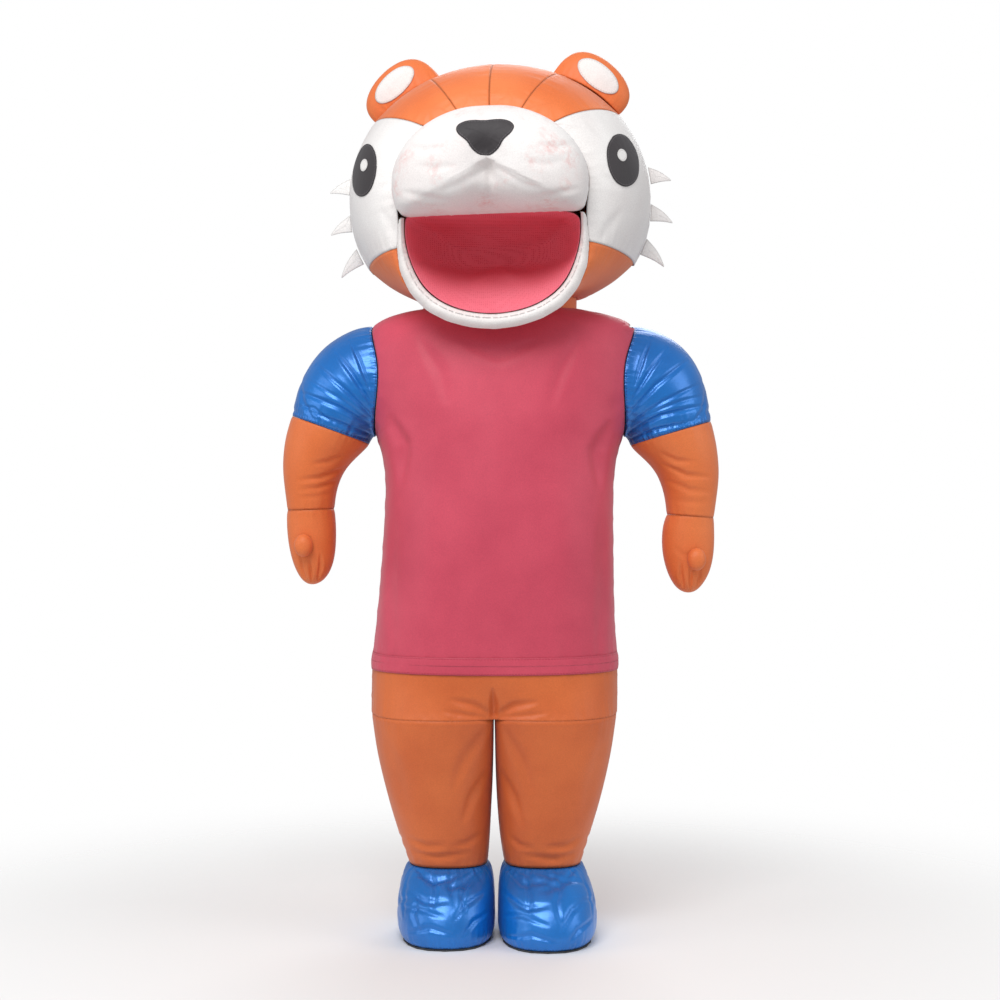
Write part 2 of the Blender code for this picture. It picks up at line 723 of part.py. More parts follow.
def rim_normal(clock_deg):
    """The way out at the face rim: forwards, and halfway to the underside along the jaw."""
    clock = math.radians(clock_deg)
    turn = abs(math.degrees(math.atan2(math.sin(clock), math.cos(clock))))
    lower = min(1.0, max(0.0, (turn - 124) / 14))
    return Vector((math.sin(clock) * lower, -1.0, math.cos(clock) * lower)).normalized()


def head_panel(name, colour, start_clock, end_clock, depths, columns, pulls=None):
    """A panel between two seams. Each seam is a function from depth to clock angle."""
    rows, normals = [], []
    for depth in depths:
        first, last = start_clock(depth), end_clock(depth)
        clocks = [first + (last - first) * n / columns for n in range(columns + 1)]
        rows.append([turn_head(head_point(c, depth)) for c in clocks])
        out = rim_normal if depth == 0 else (lambda c, d=depth: head_normal(c, d))
        normals.append([turn_way(out(c)) for c in clocks])
    pulls = pulls or {"first": SEAM, "last": SEAM, "left": SEAM, "right": SEAM}
    rows = pull_in(rows, **pulls)
    return cloth(name, rows, colour, HEAD_CENTRE, normals=normals)


def seam_clock(pair, depth):
    share = math.sin(math.radians(min(depth, 90.0)))
    return pair[0] + (pair[1] - pair[0]) * share


def head_panels():
    made = []
    front = [0, 12, 26, 42, 58, 76, CHEEK_BACK]
    back = [CHEEK_BACK, 114, 133, BACK_PANEL]
    gores = ("crown_right_side", "crown_right", "crown_left", "crown_left_side")
    for n, name in enumerate(gores):
        low, high = -1 + n * 0.5, -0.5 + n * 0.5
        made.append(head_panel(
            name, "orange_cloth",
            lambda d, s=low: s * seam_clock(CHEEK_TOP, d), lambda d, s=high: s * seam_clock(CHEEK_TOP, d),
            front + back[1:], CROWN_SPANS))
    for side, sign in (("right", -1), ("left", 1)):
        made.append(head_panel(
            "cheek_" + side, "white_cloth",
            lambda d, s=sign: s * seam_clock(CHEEK_TOP, d),
            lambda d, s=sign: s * seam_clock(CHEEK_BOTTOM, d), front, CHEEK_SPANS))
        made.append(head_panel(
            "head_side_" + side, "orange_cloth",
            lambda d, s=sign: s * CHEEK_TOP[1], lambda d, s=sign: s * CHEEK_BOTTOM[1],
            back, CHEEK_SPANS))
    under = head_panel(
        "head_under", "orange_cloth",
        lambda d: seam_clock(CHEEK_BOTTOM, d), lambda d: 360 - seam_clock(CHEEK_BOTTOM, d),
        front + back[1:], UNDER_SPANS)
    cut_neck_hole(under)
    head_back()
    return made


def head_back():
    """The round panel that closes the back of the head."""
    upper, lower = BACK_CLOCKS
    crown = 4 * CROWN_SPANS
    clocks = [-upper + 2 * upper * n / crown for n in range(crown + 1)]
    clocks += [upper + (lower - upper) * n / CHEEK_SPANS for n in range(1, CHEEK_SPANS + 1)]
    clocks += [lower + (360 - 2 * lower) * n / UNDER_SPANS for n in range(1, UNDER_SPANS + 1)]
    clocks += [360 - lower + (lower - upper) * n / CHEEK_SPANS for n in range(1, CHEEK_SPANS)]
    rows = [[turn_head(head_point(c, d)) for c in clocks] for d in (BACK_PANEL, BACK_RING)]
    rows = pull_in(rows, first=SEAM)
    tip = turn_head(head_point(0, 180))
    cloth("head_back", rows, "orange_cloth", HEAD_CENTRE, closed=True, tip=tip)


def cut_neck_hole(panel):
    """Opens the head's underside for the neck."""
    low = [Vector((p.x, p.y, NECK_LEVELS[0] - NECK_CUT_BEYOND)) for p in neck_ring(NECK_INSET - 2 * SEAM)]
    high = [Vector((p.x, p.y, NECK_LEVELS[1] + NECK_CUT_BEYOND)) for p in low]
    count = len(low)
    faces = [tuple(range(count)), tuple(reversed(range(count, 2 * count)))]
    faces += [(n, n + count, (n + 1) % count + count, (n + 1) % count) for n in range(count)]
    cutter = finish("neck_cutter", low + high, faces, "orange_cloth")
    cutter.hide_render = True
    cutter.display_type = "WIRE"
    cut = panel.modifiers.new("neck_hole", "BOOLEAN")
    cut.operation = "DIFFERENCE"
    cut.object = cutter


def neck_ring(inset):
    """The shirt's top edge, drawn in by the inset."""
    points = [body_point(BODY[-1][0], a) for a in section_angles()]
    return [p - Vector((p.x, p.y, 0)).normalized() * inset for p in points]


def neck():
    ring = neck_ring(NECK_INSET)
    rows = [[Vector((p.x, p.y, z)) for p in ring] for z in NECK_LEVELS]
    cloth("neck", rows, "orange_cloth", Vector((0, 0, 1.58)), closed=True)


def rim_point(table, clock_deg, forward=0.0):
    clock = math.radians(clock_deg)
    radius = rim_radius(table, clock)
    y = HEAD_CENTRE.y - HEAD_FRONT - forward
    return Vector((radius * math.sin(clock), y, HEAD_CENTRE.z + radius * math.cos(clock)))


def rim_seam_point(clock_deg):
    """A point on the face rim's seam, on the straight run between two points of the panels behind it."""
    top, bottom = CHEEK_TOP[0], CHEEK_BOTTOM[0]
    cheek = [top + (bottom - top) * n / CHEEK_SPANS for n in range(CHEEK_SPANS + 1)]
    under = [bottom + (360 - 2 * bottom) * n / UNDER_SPANS for n in range(1, UNDER_SPANS)]
    stops = cheek + under + [360 - c for c in reversed(cheek)]
    at = max(i for i in range(len(stops) - 1) if stops[i] <= clock_deg)
    low, high = rim_point(FACE_RIM, stops[at]), rim_point(FACE_RIM, stops[at + 1])
    ray = rim_point(FACE_RIM, clock_deg) - Vector((0, low.y, HEAD_CENTRE.z))
    run = high - low
    start = low - Vector((0, low.y, HEAD_CENTRE.z))
    share = (ray.x * start.z - ray.z * start.x) / (ray.z * run.x - ray.x * run.z)
    return low + run * share


def lip_clock(share):
    start = MOUTH_CORNER + LIP_START
    return start + (360 - 2 * start) * share


def lip_band():
    columns = 4 * LIP_PUCKERS
    rows = []
    for share in (0.0, 0.33, 0.7, 1.0):
        row = []
        for n in range(columns + 1):
            clock = lip_clock(n / columns)
            inner, outer = rim_point(MOUTH_RIM, clock), rim_seam_point(clock)
            point = inner.lerp(outer, share)
            pucker = LIP_PUCKER * math.cos(2 * math.pi * n * LIP_PUCKERS / columns)
            point.y -= (LIP_ROLL + pucker) * math.sin(math.pi * share)
            row.append(turn_head(point))
        rows.append(row)
    rows = pull_in(rows, first=SEAM, last=SEAM)
    normals = grid_normals(rows, False, turn_head(Vector((0, 0.2, 1.7))))
    for n in range(columns + 1):
        normals[-1][n] = turn_way(rim_normal(lip_clock(n / columns)))
    cloth("lip_band", rows, "white_cloth", Vector((0, 0, 1.75)), normals=normals)


def muzzle_loop():
    """The muzzle's seam: along the face rim from corner to corner, and back along the top of the mouth."""
    step = 2 * MOUTH_CORNER / MUZZLE_ARC_SPANS
    arc = [rim_point(FACE_RIM, step * n - MOUTH_CORNER) for n in range(MUZZLE_ARC_SPANS + 1)]
    corner = arc[-1]
    y = corner.y
    shares = [n / MUZZLE_LOWER_SPANS for n in range(1, MUZZLE_LOWER_SPANS)]
    lower = [Vector((corner.x * (1 - 2 * share), y, MOUTH_TOP)) for share in shares]
    return arc + lower


def muzzle_point(edge, share):
    """From the seam at 0 to the front of the muzzle at 1, with two lobes and a crease between them."""
    turn = share * math.pi / 2
    spread = math.cos(turn) ** 0.72 * (1 + 0.10 * math.sin(math.pi * share))
    point = MUZZLE_MIDDLE + (edge - MUZZLE_MIDDLE) * spread
    point.y = edge.y - MUZZLE_DEPTH * math.sin(turn) ** 0.85
    half_width, depth, lift = MUZZLE_CREASE
    low = min(1.0, max(0.0, (1.95 - point.z) / 0.08))
    near = math.exp(-((point.x / half_width) ** 2))
    swell = math.sin(math.pi * min(1.0, share * 1.4)) if share < 0.72 else 1.0
    point.y += depth * near * low * swell
    if point.z < MUZZLE_MIDDLE.z and share > 0:
        point.z += lift * near * math.sin(math.pi * share)
    return point


def muzzle():
    loop = muzzle_loop()
    rows = [[turn_head(muzzle_point(edge, share)) for edge in loop] for share in MUZZLE_ROWS]
    rows = pull_in(rows, first=SEAM)
    tip = turn_head(muzzle_point(MUZZLE_MIDDLE, 1.0))
    return cloth("muzzle", rows, "white_cloth", turn_head(MUZZLE_MIDDLE), closed=True, tip=tip)


def mouth_lining():
    """The red lining behind the open mouth, a soft bowl with a swelling at the bottom."""
    below, above = LINING_SPANS
    span = 360 - 2 * MOUTH_CORNER
    loop = [rim_point(MOUTH_RIM, MOUTH_CORNER + span * n / below) for n in range(below + 1)]
    corner = loop[0]
    loop += [Vector((-corner.x * (1 - 2 * n / above), corner.y, corner.z)) for n in range(1, above)]
    middle = Vector((0, corner.y, LINING_MIDDLE_Z))
    half_width, reach, half_height = SWELLING_SIZE
    rows = []
    for share in LINING_ROWS:
        turn = share * math.pi / 2
        row = []
        for edge in loop:
            low = min(1.0, max(0.0, (middle.z - edge.z) / 0.12))
            spread = math.cos(turn) ** 0.55 * (1 - low) + (1 - 0.9 * math.sin(turn) ** 0.8) * low
            point = middle + (edge - middle) * (spread * 0.998)
            point.y = corner.y + 2 * SEAM + MOUTH_DEPTH * math.sin(turn) ** 0.9
            off = (point.x / half_width) ** 2 + ((point.z - SWELLING_Z) / half_height) ** 2
            point.y -= reach * math.exp(-off) * math.sin(turn)
            row.append(turn_head(point))
        rows.append(row)
    tip = turn_head(middle + Vector((0, MOUTH_DEPTH, 0)))
    front = turn_head(middle + Vector((0, -RAY_START, 0)))
    return cloth("mouth_lining", rows, "mouth_mesh", front, closed=True, tip=tip)


def tree_of(*objects):
    verts, faces = [], []
    for piece in objects:
        base = len(verts)
        verts += [v.co.copy() for v in piece.data.vertices]
        faces += [tuple(base + i for i in p.vertices) for p in piece.data.polygons]
    return BVHTree.FromPolygons(verts, faces)


def rest_on(tree, point, way, gap):
    """The first place where a line from the point meets the pieces in the tree, and a gap above it."""
    hit, normal, _, _ = tree.ray_cast(point, way)
    if hit is None:
        raise ValueError("a patch misses its panel")
    if normal.dot(way) > 0:
        normal = -normal
    return hit + normal * gap


def patch(name, colour, tree, centre, half, outline, rings=4, columns=16, gap=PATCH_GAP):
    """A flat piece sewn on a panel: its points are the panel's points in front view, moved out."""
    way = turn_way(Vector((0, 1, 0)))
    rows = []
    for k in range(rings, 0, -1):
        row = []
        for n in range(columns):
            turn = 2 * math.pi * n / columns
            reach = outline(turn) * k / rings
            flat = Vector((half[0] * math.cos(turn) * reach, 0, half[1] * math.sin(turn) * reach))
            place = turn_head(Vector((centre[0], -2 * RAY_START, centre[1])) + flat)
            row.append(rest_on(tree, place, way, gap + CLOTH))
        rows.append(row)
    tip = rest_on(tree, turn_head(Vector((centre[0], -2 * RAY_START, centre[1]))), way, gap + CLOTH)
    return cloth(name, rows, colour, tip + Vector((0, RAY_START, 0)), closed=True, tip=tip)


def round_outline(_turn):
    return 1.0


def nose_outline(turn):
    """A rounded triangle, broad at the top."""
    return 0.80 + 0.18 * math.sin(3 * turn)


def dome(name, colour, tree, centre, up, side, half_width, half_depth, height, columns=16):
    """A puffed cap on a surface: its lowest ring follows the surface, and the others close over it."""
    deep = up.cross(side).normalized()
    base = []
    for n in range(columns):
        turn = 2 * math.pi * n / columns
        flat = side * (half_width * math.cos(turn)) + deep * (half_depth * math.sin(turn))
        base.append(rest_on(tree, centre + flat + up * RAY_START / 2, -up, 0.0) + up * PATCH_GAP)
    rows = []
    for rise, spread in DOME_PROFILE:
        row = []
        for n in range(columns):
            turn = 2 * math.pi * n / columns
            flat = side * (half_width * math.cos(turn)) + deep * (half_depth * math.sin(turn))
            full = centre + flat * spread + up * (height * rise)
            if rise == 0.0:
                full = base[n]
            else:
                low = base[n] + up * (height * rise)
                keep = (1 - rise) ** 2
                full = full.lerp(low + flat * (spread - 1), keep)
            row.append(full)
        rows.append(row)
    return cloth(name, rows, colour, centre, closed=True, tip=centre + up * height)


def ear(side, tree):
    sign = -1 if side == "right" else 1
    centre = turn_head(head_point(sign * EAR_CLOCK, EAR_DEPTH_ANGLE))
    lean = math.radians(EAR_CLOCK)
    up = turn_way(Vector((sign * math.sin(lean), 0, math.cos(lean))))
    backward = turn_way(Vector((0, 1, 0)))
    along = backward.cross(up).normalized()
    shell = dome("ear_" + side, "orange_cloth", tree, centre, up, along,
                 EAR_HALF_WIDTH, EAR_HALF_DEPTH, EAR_HEIGHT)
    shell_tree = tree_of(shell)
    before = centre + up * EAR_INNER_MIDDLE - backward * RAY_START
    wide, high = EAR_INNER_HALF
    rings, columns = 4, 16
    rows = []
    for k in range(rings, 0, -1):
        row = []
        for n in range(columns):
            turn = 2 * math.pi * n / columns
            flat = along * (wide * math.cos(turn)) + up * (high * math.sin(turn))
            row.append(rest_on(shell_tree, before + flat * (k / rings), backward, PATCH_GAP + CLOTH))
        rows.append(row)
    tip = rest_on(shell_tree, before, backward, PATCH_GAP + CLOTH)
    cloth("ear_inner_" + side, rows, "white_cloth", tip + backward * RAY_START, closed=True, tip=tip)


def tuft(side, index, tree):
    """A pointed tab of doubled cloth at the back edge of the cheek, bent a little downwards."""
    sign = -1 if side == "right" else 1
    clock = sign * TUFT_CLOCKS[index]
    depth = TUFT_DEPTH_ANGLE
    out = head_normal(clock, depth)
    start = turn_head(head_point(clock, depth) + out * RAY_START / 4)
    root = rest_on(tree, start, -turn_way(out), TUFT_GAP)
    root = unturn_head(root)
    along = (head_point(clock + 1, depth) - head_point(clock - 1, depth)).normalized() * sign
    length = TUFT_LENGTHS[index]
    back = Vector((0, 1, 0))
    verts = []
    for share, width in TUFT_RINGS:
        middle = root + out * (length * share) + along * (TUFT_DROOP * length * share * share)
        middle += back * (TUFT_LEAN_BACK * share)
        half = TUFT_HALF_WIDTH * width
        thick = TUFT_THICKNESS / 2 * (0.4 + 0.6 * width)
        verts += [middle - along * half, middle - back * thick, middle + along * half, middle + back * thick]
    verts.append(root + out * length + along * (TUFT_DROOP * length) + back * TUFT_LEAN_BACK)
    faces = [(3, 2, 1, 0)]
    for k in range(len(TUFT_RINGS) - 1):
        for n in range(4):
            a, b = 4 * k + n, 4 * k + (n + 1) % 4
            faces.append((a, b, b + 4, a + 4))
    last = 4 * (len(TUFT_RINGS) - 1)
    faces += [(last + n, last + (n + 1) % 4, last + 4) for n in range(4)]
    finish(f"tuft_{side}_{index + 1}", [turn_head(v) for v in verts], faces, "white_cloth")


def box_mesh(name, low, high, colour):
    x0, y0, z0 = low
    x1, y1, z1 = high
    corners = ((x0, y0), (x1, y0), (x1, y1), (x0, y1))
    verts = [Vector((x, y, z)) for z in (z0, z1) for x, y in corners]
    faces = [(0, 3, 2, 1), (4, 5, 6, 7), (0, 1, 5, 4), (1, 2, 6, 5), (2, 3, 7, 6), (3, 0, 4, 7)]
    return finish(name, verts, faces, colour, smooth=False)


def combine(target, other, operation):
    """Joins a piece to the target, or cuts it away, and removes it."""
    change = target.modifiers.new(other.name, "BOOLEAN")
    change.operation = operation
    change.object = other
    made = bpy.data.meshes.new_from_object(target.evaluated_get(bpy.context.evaluated_depsgraph_get()))
    target.modifiers.clear()
    target.data = made
    bpy.data.objects.remove(other, do_unlink=True)


def zip_slider_and_pull():
    """The closed zip's slider near the neck, and its tab, which hangs from a pin and swings."""
    level = SLIDER_LEVEL
    wide, thick, tall = SLIDER_SIZE
    back = max(body_point(z, math.pi / 2).y for z in (level - tall / 2, level))
    floor = back + SEAM
    slider = box_mesh(
        "zip_slider", (-wide / 2, floor, level - tall / 2), (wide / 2, floor + thick, level + tall / 2),
        "zip_metal")
    pin_y = floor + thick + PIN_STANDS_OFF
    pin_z = level + PIN_RISE
    lug_wide, lug_deep, lug_tall = LUG_SIZE
    for n, x in enumerate((-wide / 2, wide / 2 - lug_wide)):
        low = (x, floor + thick / 2, pin_z - lug_tall)
        high = (x + lug_wide, pin_y + lug_deep, pin_z + lug_tall)
        combine(slider, box_mesh(f"lug_{n}", low, high, "zip_metal"), "UNION")
    across = (0, math.pi / 2, 0)
    bpy.ops.mesh.primitive_cylinder_add(
        vertices=12, radius=PIN_RADIUS, depth=wide - lug_wide, location=(0, pin_y, pin_z), rotation=across)
    combine(slider, bpy.context.object, "UNION")
    pull_wide, pull_thick, pull_long = PULL_SIZE
    pull = box_mesh(
        "zip_pull", (-pull_wide / 2, pin_y - pull_thick / 2, pin_z - pull_long),
        (pull_wide / 2, pin_y + pull_thick / 2, pin_z + PULL_TOP), "zip_metal")
    bpy.ops.mesh.primitive_cylinder_add(
        vertices=16, radius=PIN_RADIUS + PIN_CLEARANCE, depth=2 * wide, location=(0, pin_y, pin_z),
        rotation=across)
    combine(pull, bpy.context.object, "DIFFERENCE")


def stand_on_origin():
    """Moves the whole costume so that the middle of its outline, seen from above, is over the origin."""
    solids = [o for o in bpy.context.scene.objects if o.type == "MESH"]
    corners = [v.co for o in solids if not o.hide_render for v in o.data.vertices]
    shift = Vector((
        -(min(c.x for c in corners) + max(c.x for c in corners)) / 2,
        -(min(c.y for c in corners) + max(c.y for c in corners)) / 2,
        0.0))
    for solid in solids:
        solid.location = solid.location + shift


def build():
    clear_scene()
    shirt_front()
    for side in ("right", "left"):
        shirt_back(side)
        zip_tape(side)
        arm_and_sleeve(side)
        palm = hand(side)
        x, z = THUMB[side]
        place = Vector((x, -HANDS[side][2][4], z))
        dome("thumb_" + side, "orange_cloth", tree_of(palm), place, Vector((0, -1, 0)), Vector((1, 0, 0)),
             THUMB_HALF_SIZE[0], THUMB_HALF_SIZE[1], THUMB_HEIGHT, columns=12)
        leg(side)
        shoe(side)
    hem_band()
    seat("seat_front", back=False)
    seat("seat_back", back=True)
    zip_slider_and_pull()
    neck()
    panels = head_panels()
    lip_band()
    snout = muzzle()
    mouth_lining()
    head_tree = tree_of(*panels)
    snout_tree = tree_of(snout)
    for side, sign in (("right", -1), ("left", 1)):
        ear(side, head_tree)
        x, z = sign * EYE_CENTRE[0], EYE_CENTRE[1]
        eye = patch("eye_" + side, "charcoal_cloth", head_tree, (x, z), EYE_HALF, round_outline)
        patch("eye_highlight_" + side, "white_cloth", tree_of(eye), (x, z + HIGHLIGHT_RISE),
              HIGHLIGHT_HALF, round_outline, rings=2, columns=12, gap=HIGHLIGHT_GAP)
        for index in range(len(TUFT_CLOCKS)):
            tuft(side, index, head_tree)
    patch("nose", "charcoal_cloth", snout_tree, (0.0, NOSE_TOP - NOSE_HALF[1]), NOSE_HALF, nose_outline,
          columns=20, gap=NOSE_GAP)
    stand_on_origin()


build()
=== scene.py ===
"""Inflatable mascot costume: the looks of its cloth, seams, zip and soles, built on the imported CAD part."""

import math

import bmesh
import bpy
import numpy as np
from mathutils import Matrix, Vector
from mathutils.bvhtree import BVHTree
from mathutils.kdtree import KDTree


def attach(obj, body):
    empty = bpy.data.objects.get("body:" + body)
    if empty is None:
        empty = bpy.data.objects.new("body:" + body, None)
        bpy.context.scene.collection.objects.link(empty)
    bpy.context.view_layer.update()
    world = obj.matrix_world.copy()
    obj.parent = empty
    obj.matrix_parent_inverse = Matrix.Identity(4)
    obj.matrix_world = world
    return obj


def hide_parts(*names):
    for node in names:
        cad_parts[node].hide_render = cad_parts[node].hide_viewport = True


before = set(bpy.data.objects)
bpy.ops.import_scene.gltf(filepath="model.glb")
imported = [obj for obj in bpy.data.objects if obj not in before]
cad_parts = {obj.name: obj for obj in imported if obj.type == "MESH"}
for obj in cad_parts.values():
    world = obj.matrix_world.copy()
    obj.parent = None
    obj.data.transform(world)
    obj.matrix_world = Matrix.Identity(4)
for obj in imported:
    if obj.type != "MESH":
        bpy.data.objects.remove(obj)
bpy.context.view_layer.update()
bpy.ops.object.select_all(action="DESELECT")


# Shirt
# The shirt's front and its two back halves are coated nylon oxford cloth, sewn at the sides and shoulders
# with the seam turned inwards. Air from inside holds them tight, so they show long soft folds and small
# puckers at the seams.

OXFORD_THICKNESS = 0.0012
SAME_POINT = 0.00002
SEAM_DIP = 0.0008
SEAM_DIP_REACH = 0.005
STITCH_INSET = 0.0042
STITCH_PITCH = 0.0075
STITCH_LENGTH = 0.0052
STITCH_HALF_WIDTH = 0.0009


def cut_cloth(node, level, turn=50.0, slacken=0):
    """The outer face of a CAD cloth wall as one smooth sheet, with its folds eased slacken times."""
    work = bmesh.new()
    work.from_mesh(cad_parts[node].data)
    bmesh.ops.remove_doubles(work, verts=work.verts, dist=SAME_POINT)
    bmesh.ops.join_triangles(
        work, faces=work.faces,
        angle_face_threshold=math.radians(40), angle_shape_threshold=math.radians(60))
    work.faces.ensure_lookup_table()
    limit = math.radians(turn)
    walls, seen = [], set()
    for start in work.faces:
        if start.index in seen:
            continue
        seen.add(start.index)
        wall, queue = [], [start]
        while queue:
            face = queue.pop()
            wall.append(face)
            for edge in face.edges:
                if len(edge.link_faces) != 2 or edge.calc_face_angle(0.0) > limit:
                    continue
                for other in edge.link_faces:
                    if other.index not in seen:
                        seen.add(other.index)
                        queue.append(other)
        walls.append(wall)
    outer = set(max(walls, key=lambda wall: sum(face.calc_area() for face in wall)))
    bmesh.ops.delete(work, geom=[face for face in work.faces if face not in outer], context="FACES")
    mesh = bpy.data.meshes.new(node + "_cloth")
    work.to_mesh(mesh)
    work.free()
    sheet = bpy.data.objects.new(node + "_cloth", mesh)
    bpy.context.scene.collection.objects.link(sheet)
    bpy.context.view_layer.objects.active = sheet
    smooth = sheet.modifiers.new("smooth", "SUBSURF")
    smooth.levels = smooth.render_levels = level
    smooth.boundary_smooth = "PRESERVE_CORNERS"
    bpy.ops.object.modifier_apply(modifier="smooth")
    if slacken:
        work = bmesh.new()
        work.from_mesh(sheet.data)
        inner = [v for v in work.verts if not v.is_boundary]
        for _ in range(slacken):
            bmesh.ops.smooth_vert(
                work, verts=inner, factor=0.5, use_axis_x=True, use_axis_y=True, use_axis_z=True)
        work.to_mesh(sheet.data)
        work.free()
    map_seams(sheet)
    return sheet


def read(sheet, what):
    """Places or normals of a sheet's points as an array."""
    data = sheet.data.vertices if what == "co" else sheet.data.vertex_normals
    values = np.empty(len(data) * 3)
    data.foreach_get("co" if what == "co" else "vector", values)
    return values.reshape(-1, 3)


def write(sheet, places):
    """Puts a sheet's points at new places."""
    sheet.data.vertices.foreach_set("co", places.ravel())
    sheet.data.update()


def map_seams(sheet):
    """Keeps, for each point, how far along the sheet's edge it lies and how far in from it, in metres."""
    work = bmesh.new()
    work.from_mesh(sheet.data)
    work.verts.ensure_lookup_table()
    ways = {}
    for edge in work.edges:
        if edge.is_boundary:
            a, b = edge.verts[0].index, edge.verts[1].index
            ways.setdefault(a, []).append(b)
            ways.setdefault(b, []).append(a)
    before, after, along, round_length = {}, {}, {}, {}
    for first in sorted(ways):
        if first in along:
            continue
        ring, last, here = [first], None, first
        passed = {first}
        while True:
            ahead = [v for v in ways[here] if v != last and v not in passed]
            if not ahead:
                break
            last, here = here, ahead[0]
            passed.add(here)
            ring.append(here)
        run = 0.0
        for n, v in enumerate(ring):
            along[v] = run
            before[v], after[v] = ring[n - 1], ring[(n + 1) % len(ring)]
            run += (work.verts[after[v]].co - work.verts[v].co).length
        for v in ring:
            round_length[v] = run
    edge_points = sorted(along)
    tree = KDTree(len(edge_points))
    for n, v in enumerate(edge_points):
        tree.insert(work.verts[v].co, n)
    tree.balance()
    nearest = np.array([edge_points[tree.find(v.co)[1]] for v in work.verts])
    work.free()
    places = read(sheet, "co")
    run = np.array([along[v] for v in nearest])
    near = np.linalg.norm(places - places[nearest], axis=1)
    for other, sign in ((after, 1.0), (before, -1.0)):
        target = np.array([other[v] for v in nearest])
        step = places[target] - places[nearest]
        length = np.maximum(np.linalg.norm(step, axis=1), 1e-9)
        share = np.clip(np.einsum("ij,ij->i", places - places[nearest], step) / length ** 2, 0.0, 1.0)
        reach = np.linalg.norm(places - places[nearest] - step * share[:, None], axis=1)
        better = reach < near - 1e-9
        near = np.where(better, reach, near)
        run = np.where(better, np.array([along[v] for v in nearest]) + sign * share * length, run)
    sheet["edge_run"] = run.tolist()
    sheet["edge_near"] = near.tolist()
    whole = np.array([round_length[v] for v in nearest])
    layer = sheet.data.uv_layers.new(name="Seams")
    corners = np.empty(len(sheet.data.loops), dtype=int)
    sheet.data.loops.foreach_get("vertex_index", corners)
    starts = np.empty(len(sheet.data.polygons), dtype=int)
    sheet.data.polygons.foreach_get("loop_start", starts)
    counts = np.empty(len(sheet.data.polygons), dtype=int)
    sheet.data.polygons.foreach_get("loop_total", counts)
    face_of = np.repeat(np.arange(len(starts)), counts)
    longest = np.zeros(len(starts))
    np.maximum.at(longest, face_of, run[corners])
    wraps = longest[face_of] - run[corners] > whole[corners] / 2
    pairs = np.stack([run[corners] + wraps * whole[corners], near[corners]], axis=1)
    layer.data.foreach_set("uv", pairs.ravel())


def ease(value, low, high):
    """0 below low, 1 above high and a soft step between them."""
    share = np.clip((value - low) / (high - low), 0.0, 1.0)
    return share * share * (3 - 2 * share)


FACINGS = {
    "front": (Vector((0, -1, 0)), (0, 2)),
    "back": (Vector((0, 1, 0)), (0, 2)),
    "left": (Vector((1, 0, 0)), (1, 2)),
    "right": (Vector((-1, 0, 0)), (1, 2)),
    "above": (Vector((0, 0, 1)), (0, 1)),
}


def press(sheet, facing, creases, slack=1.0):
    """Presses in creases, each a path on one side's plane, a width and a depth. Slack deepens them."""
    places, normals = read(sheet, "co"), read(sheet, "normal")
    near = np.array(sheet["edge_near"])
    way, (a, b) = FACINGS[facing]
    seen = ease(normals @ np.array(way), 0.10, 0.50) * ease(near, 0.0, 0.012)
    flat = places[:, [a, b]]
    total = np.zeros(len(places))
    for path, width, depth in creases:
        points = np.array(path)
        lengths = np.linalg.norm(points[1:] - points[:-1], axis=1)
        best = np.full(len(flat), 1e9)
        share = np.zeros(len(flat))
        done = 0.0
        for n, length in enumerate(lengths):
            step = points[n + 1] - points[n]
            t = np.clip((flat - points[n]) @ step / length ** 2, 0.0, 1.0)
            off = np.linalg.norm(flat - points[n] - t[:, None] * step, axis=1)
            share = np.where(off < best, (done + t * length) / lengths.sum(), share)
            best = np.minimum(best, off)
            done += length
        narrow = width * (0.55 + 0.45 * np.sin(np.pi * np.clip(share, 0.0, 1.0)))
        r = best / narrow
        swell = np.sin(np.pi * (0.06 + 0.88 * share)) ** 0.8
        total += -slack * depth * (1.0 - r * r) * np.exp(-r * r) * swell
    write(sheet, places + normals * (total * seen)[:, None])


def wave(value, seed):
    """An uneven ripple between about -1 and 1, the same for the same seed."""
    return (
        0.45 * np.sin(value * 6.283 + seed) + 0.35 * np.sin(value * 3.9 + 2.3 * seed)
        + 0.30 * np.sin(value * 10.1 + 0.7 * seed))


def pucker(sheet, height, spacing, reach, seed, dip=SEAM_DIP):
    """Small folds square to the sheet's edges, which die out inwards, and the dip of the seam itself."""
    places, normals = read(sheet, "co"), read(sheet, "normal")
    run, near = np.array(sheet["edge_run"]), np.array(sheet["edge_near"])
    fold = height * wave(run / spacing, seed) * np.exp(-near / reach) * ease(near, 0.0, 0.010)
    write(sheet, places + normals * (fold - dip * np.exp(-near / SEAM_DIP_REACH))[:, None])


def sew(sheet, node, cloth, thickness=OXFORD_THICKNESS):
    """Gives a shaped sheet its thickness and material, and puts it in place of its CAD node."""
    bpy.context.view_layer.objects.active = sheet
    wall = sheet.modifiers.new("wall", "SOLIDIFY")
    wall.thickness = thickness
    wall.offset = -1.0
    bpy.ops.object.modifier_apply(modifier="wall")
    sheet.data.polygons.foreach_set("use_smooth", [True] * len(sheet.data.polygons))
    sheet.data.materials.clear()
    sheet.data.materials.append(cloth)
    del sheet["edge_run"], sheet["edge_near"]
    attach(sheet, "suit")
    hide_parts(node)


def linear(code):
    """A linear colour from an sRGB hex code."""
    parts = [int(code[n:n + 2], 16) / 255 for n in (1, 3, 5)]
    return (*[c / 12.92 if c <= 0.04045 else ((c + 0.055) / 1.055) ** 2.4 for c in parts], 1.0)


def lay(tree, kind, links=None, **settings):
    """Adds a node. links gives its inputs' values or sources, and settings its own properties."""
    node = tree.nodes.new(kind)
    for name, value in settings.items():
        setattr(node, name, value)
    for name, value in (links or {}).items():
        if isinstance(value, bpy.types.NodeSocket):
            tree.links.new(value, node.inputs[name])
        else:
            node.inputs[name].default_value = value
    return node


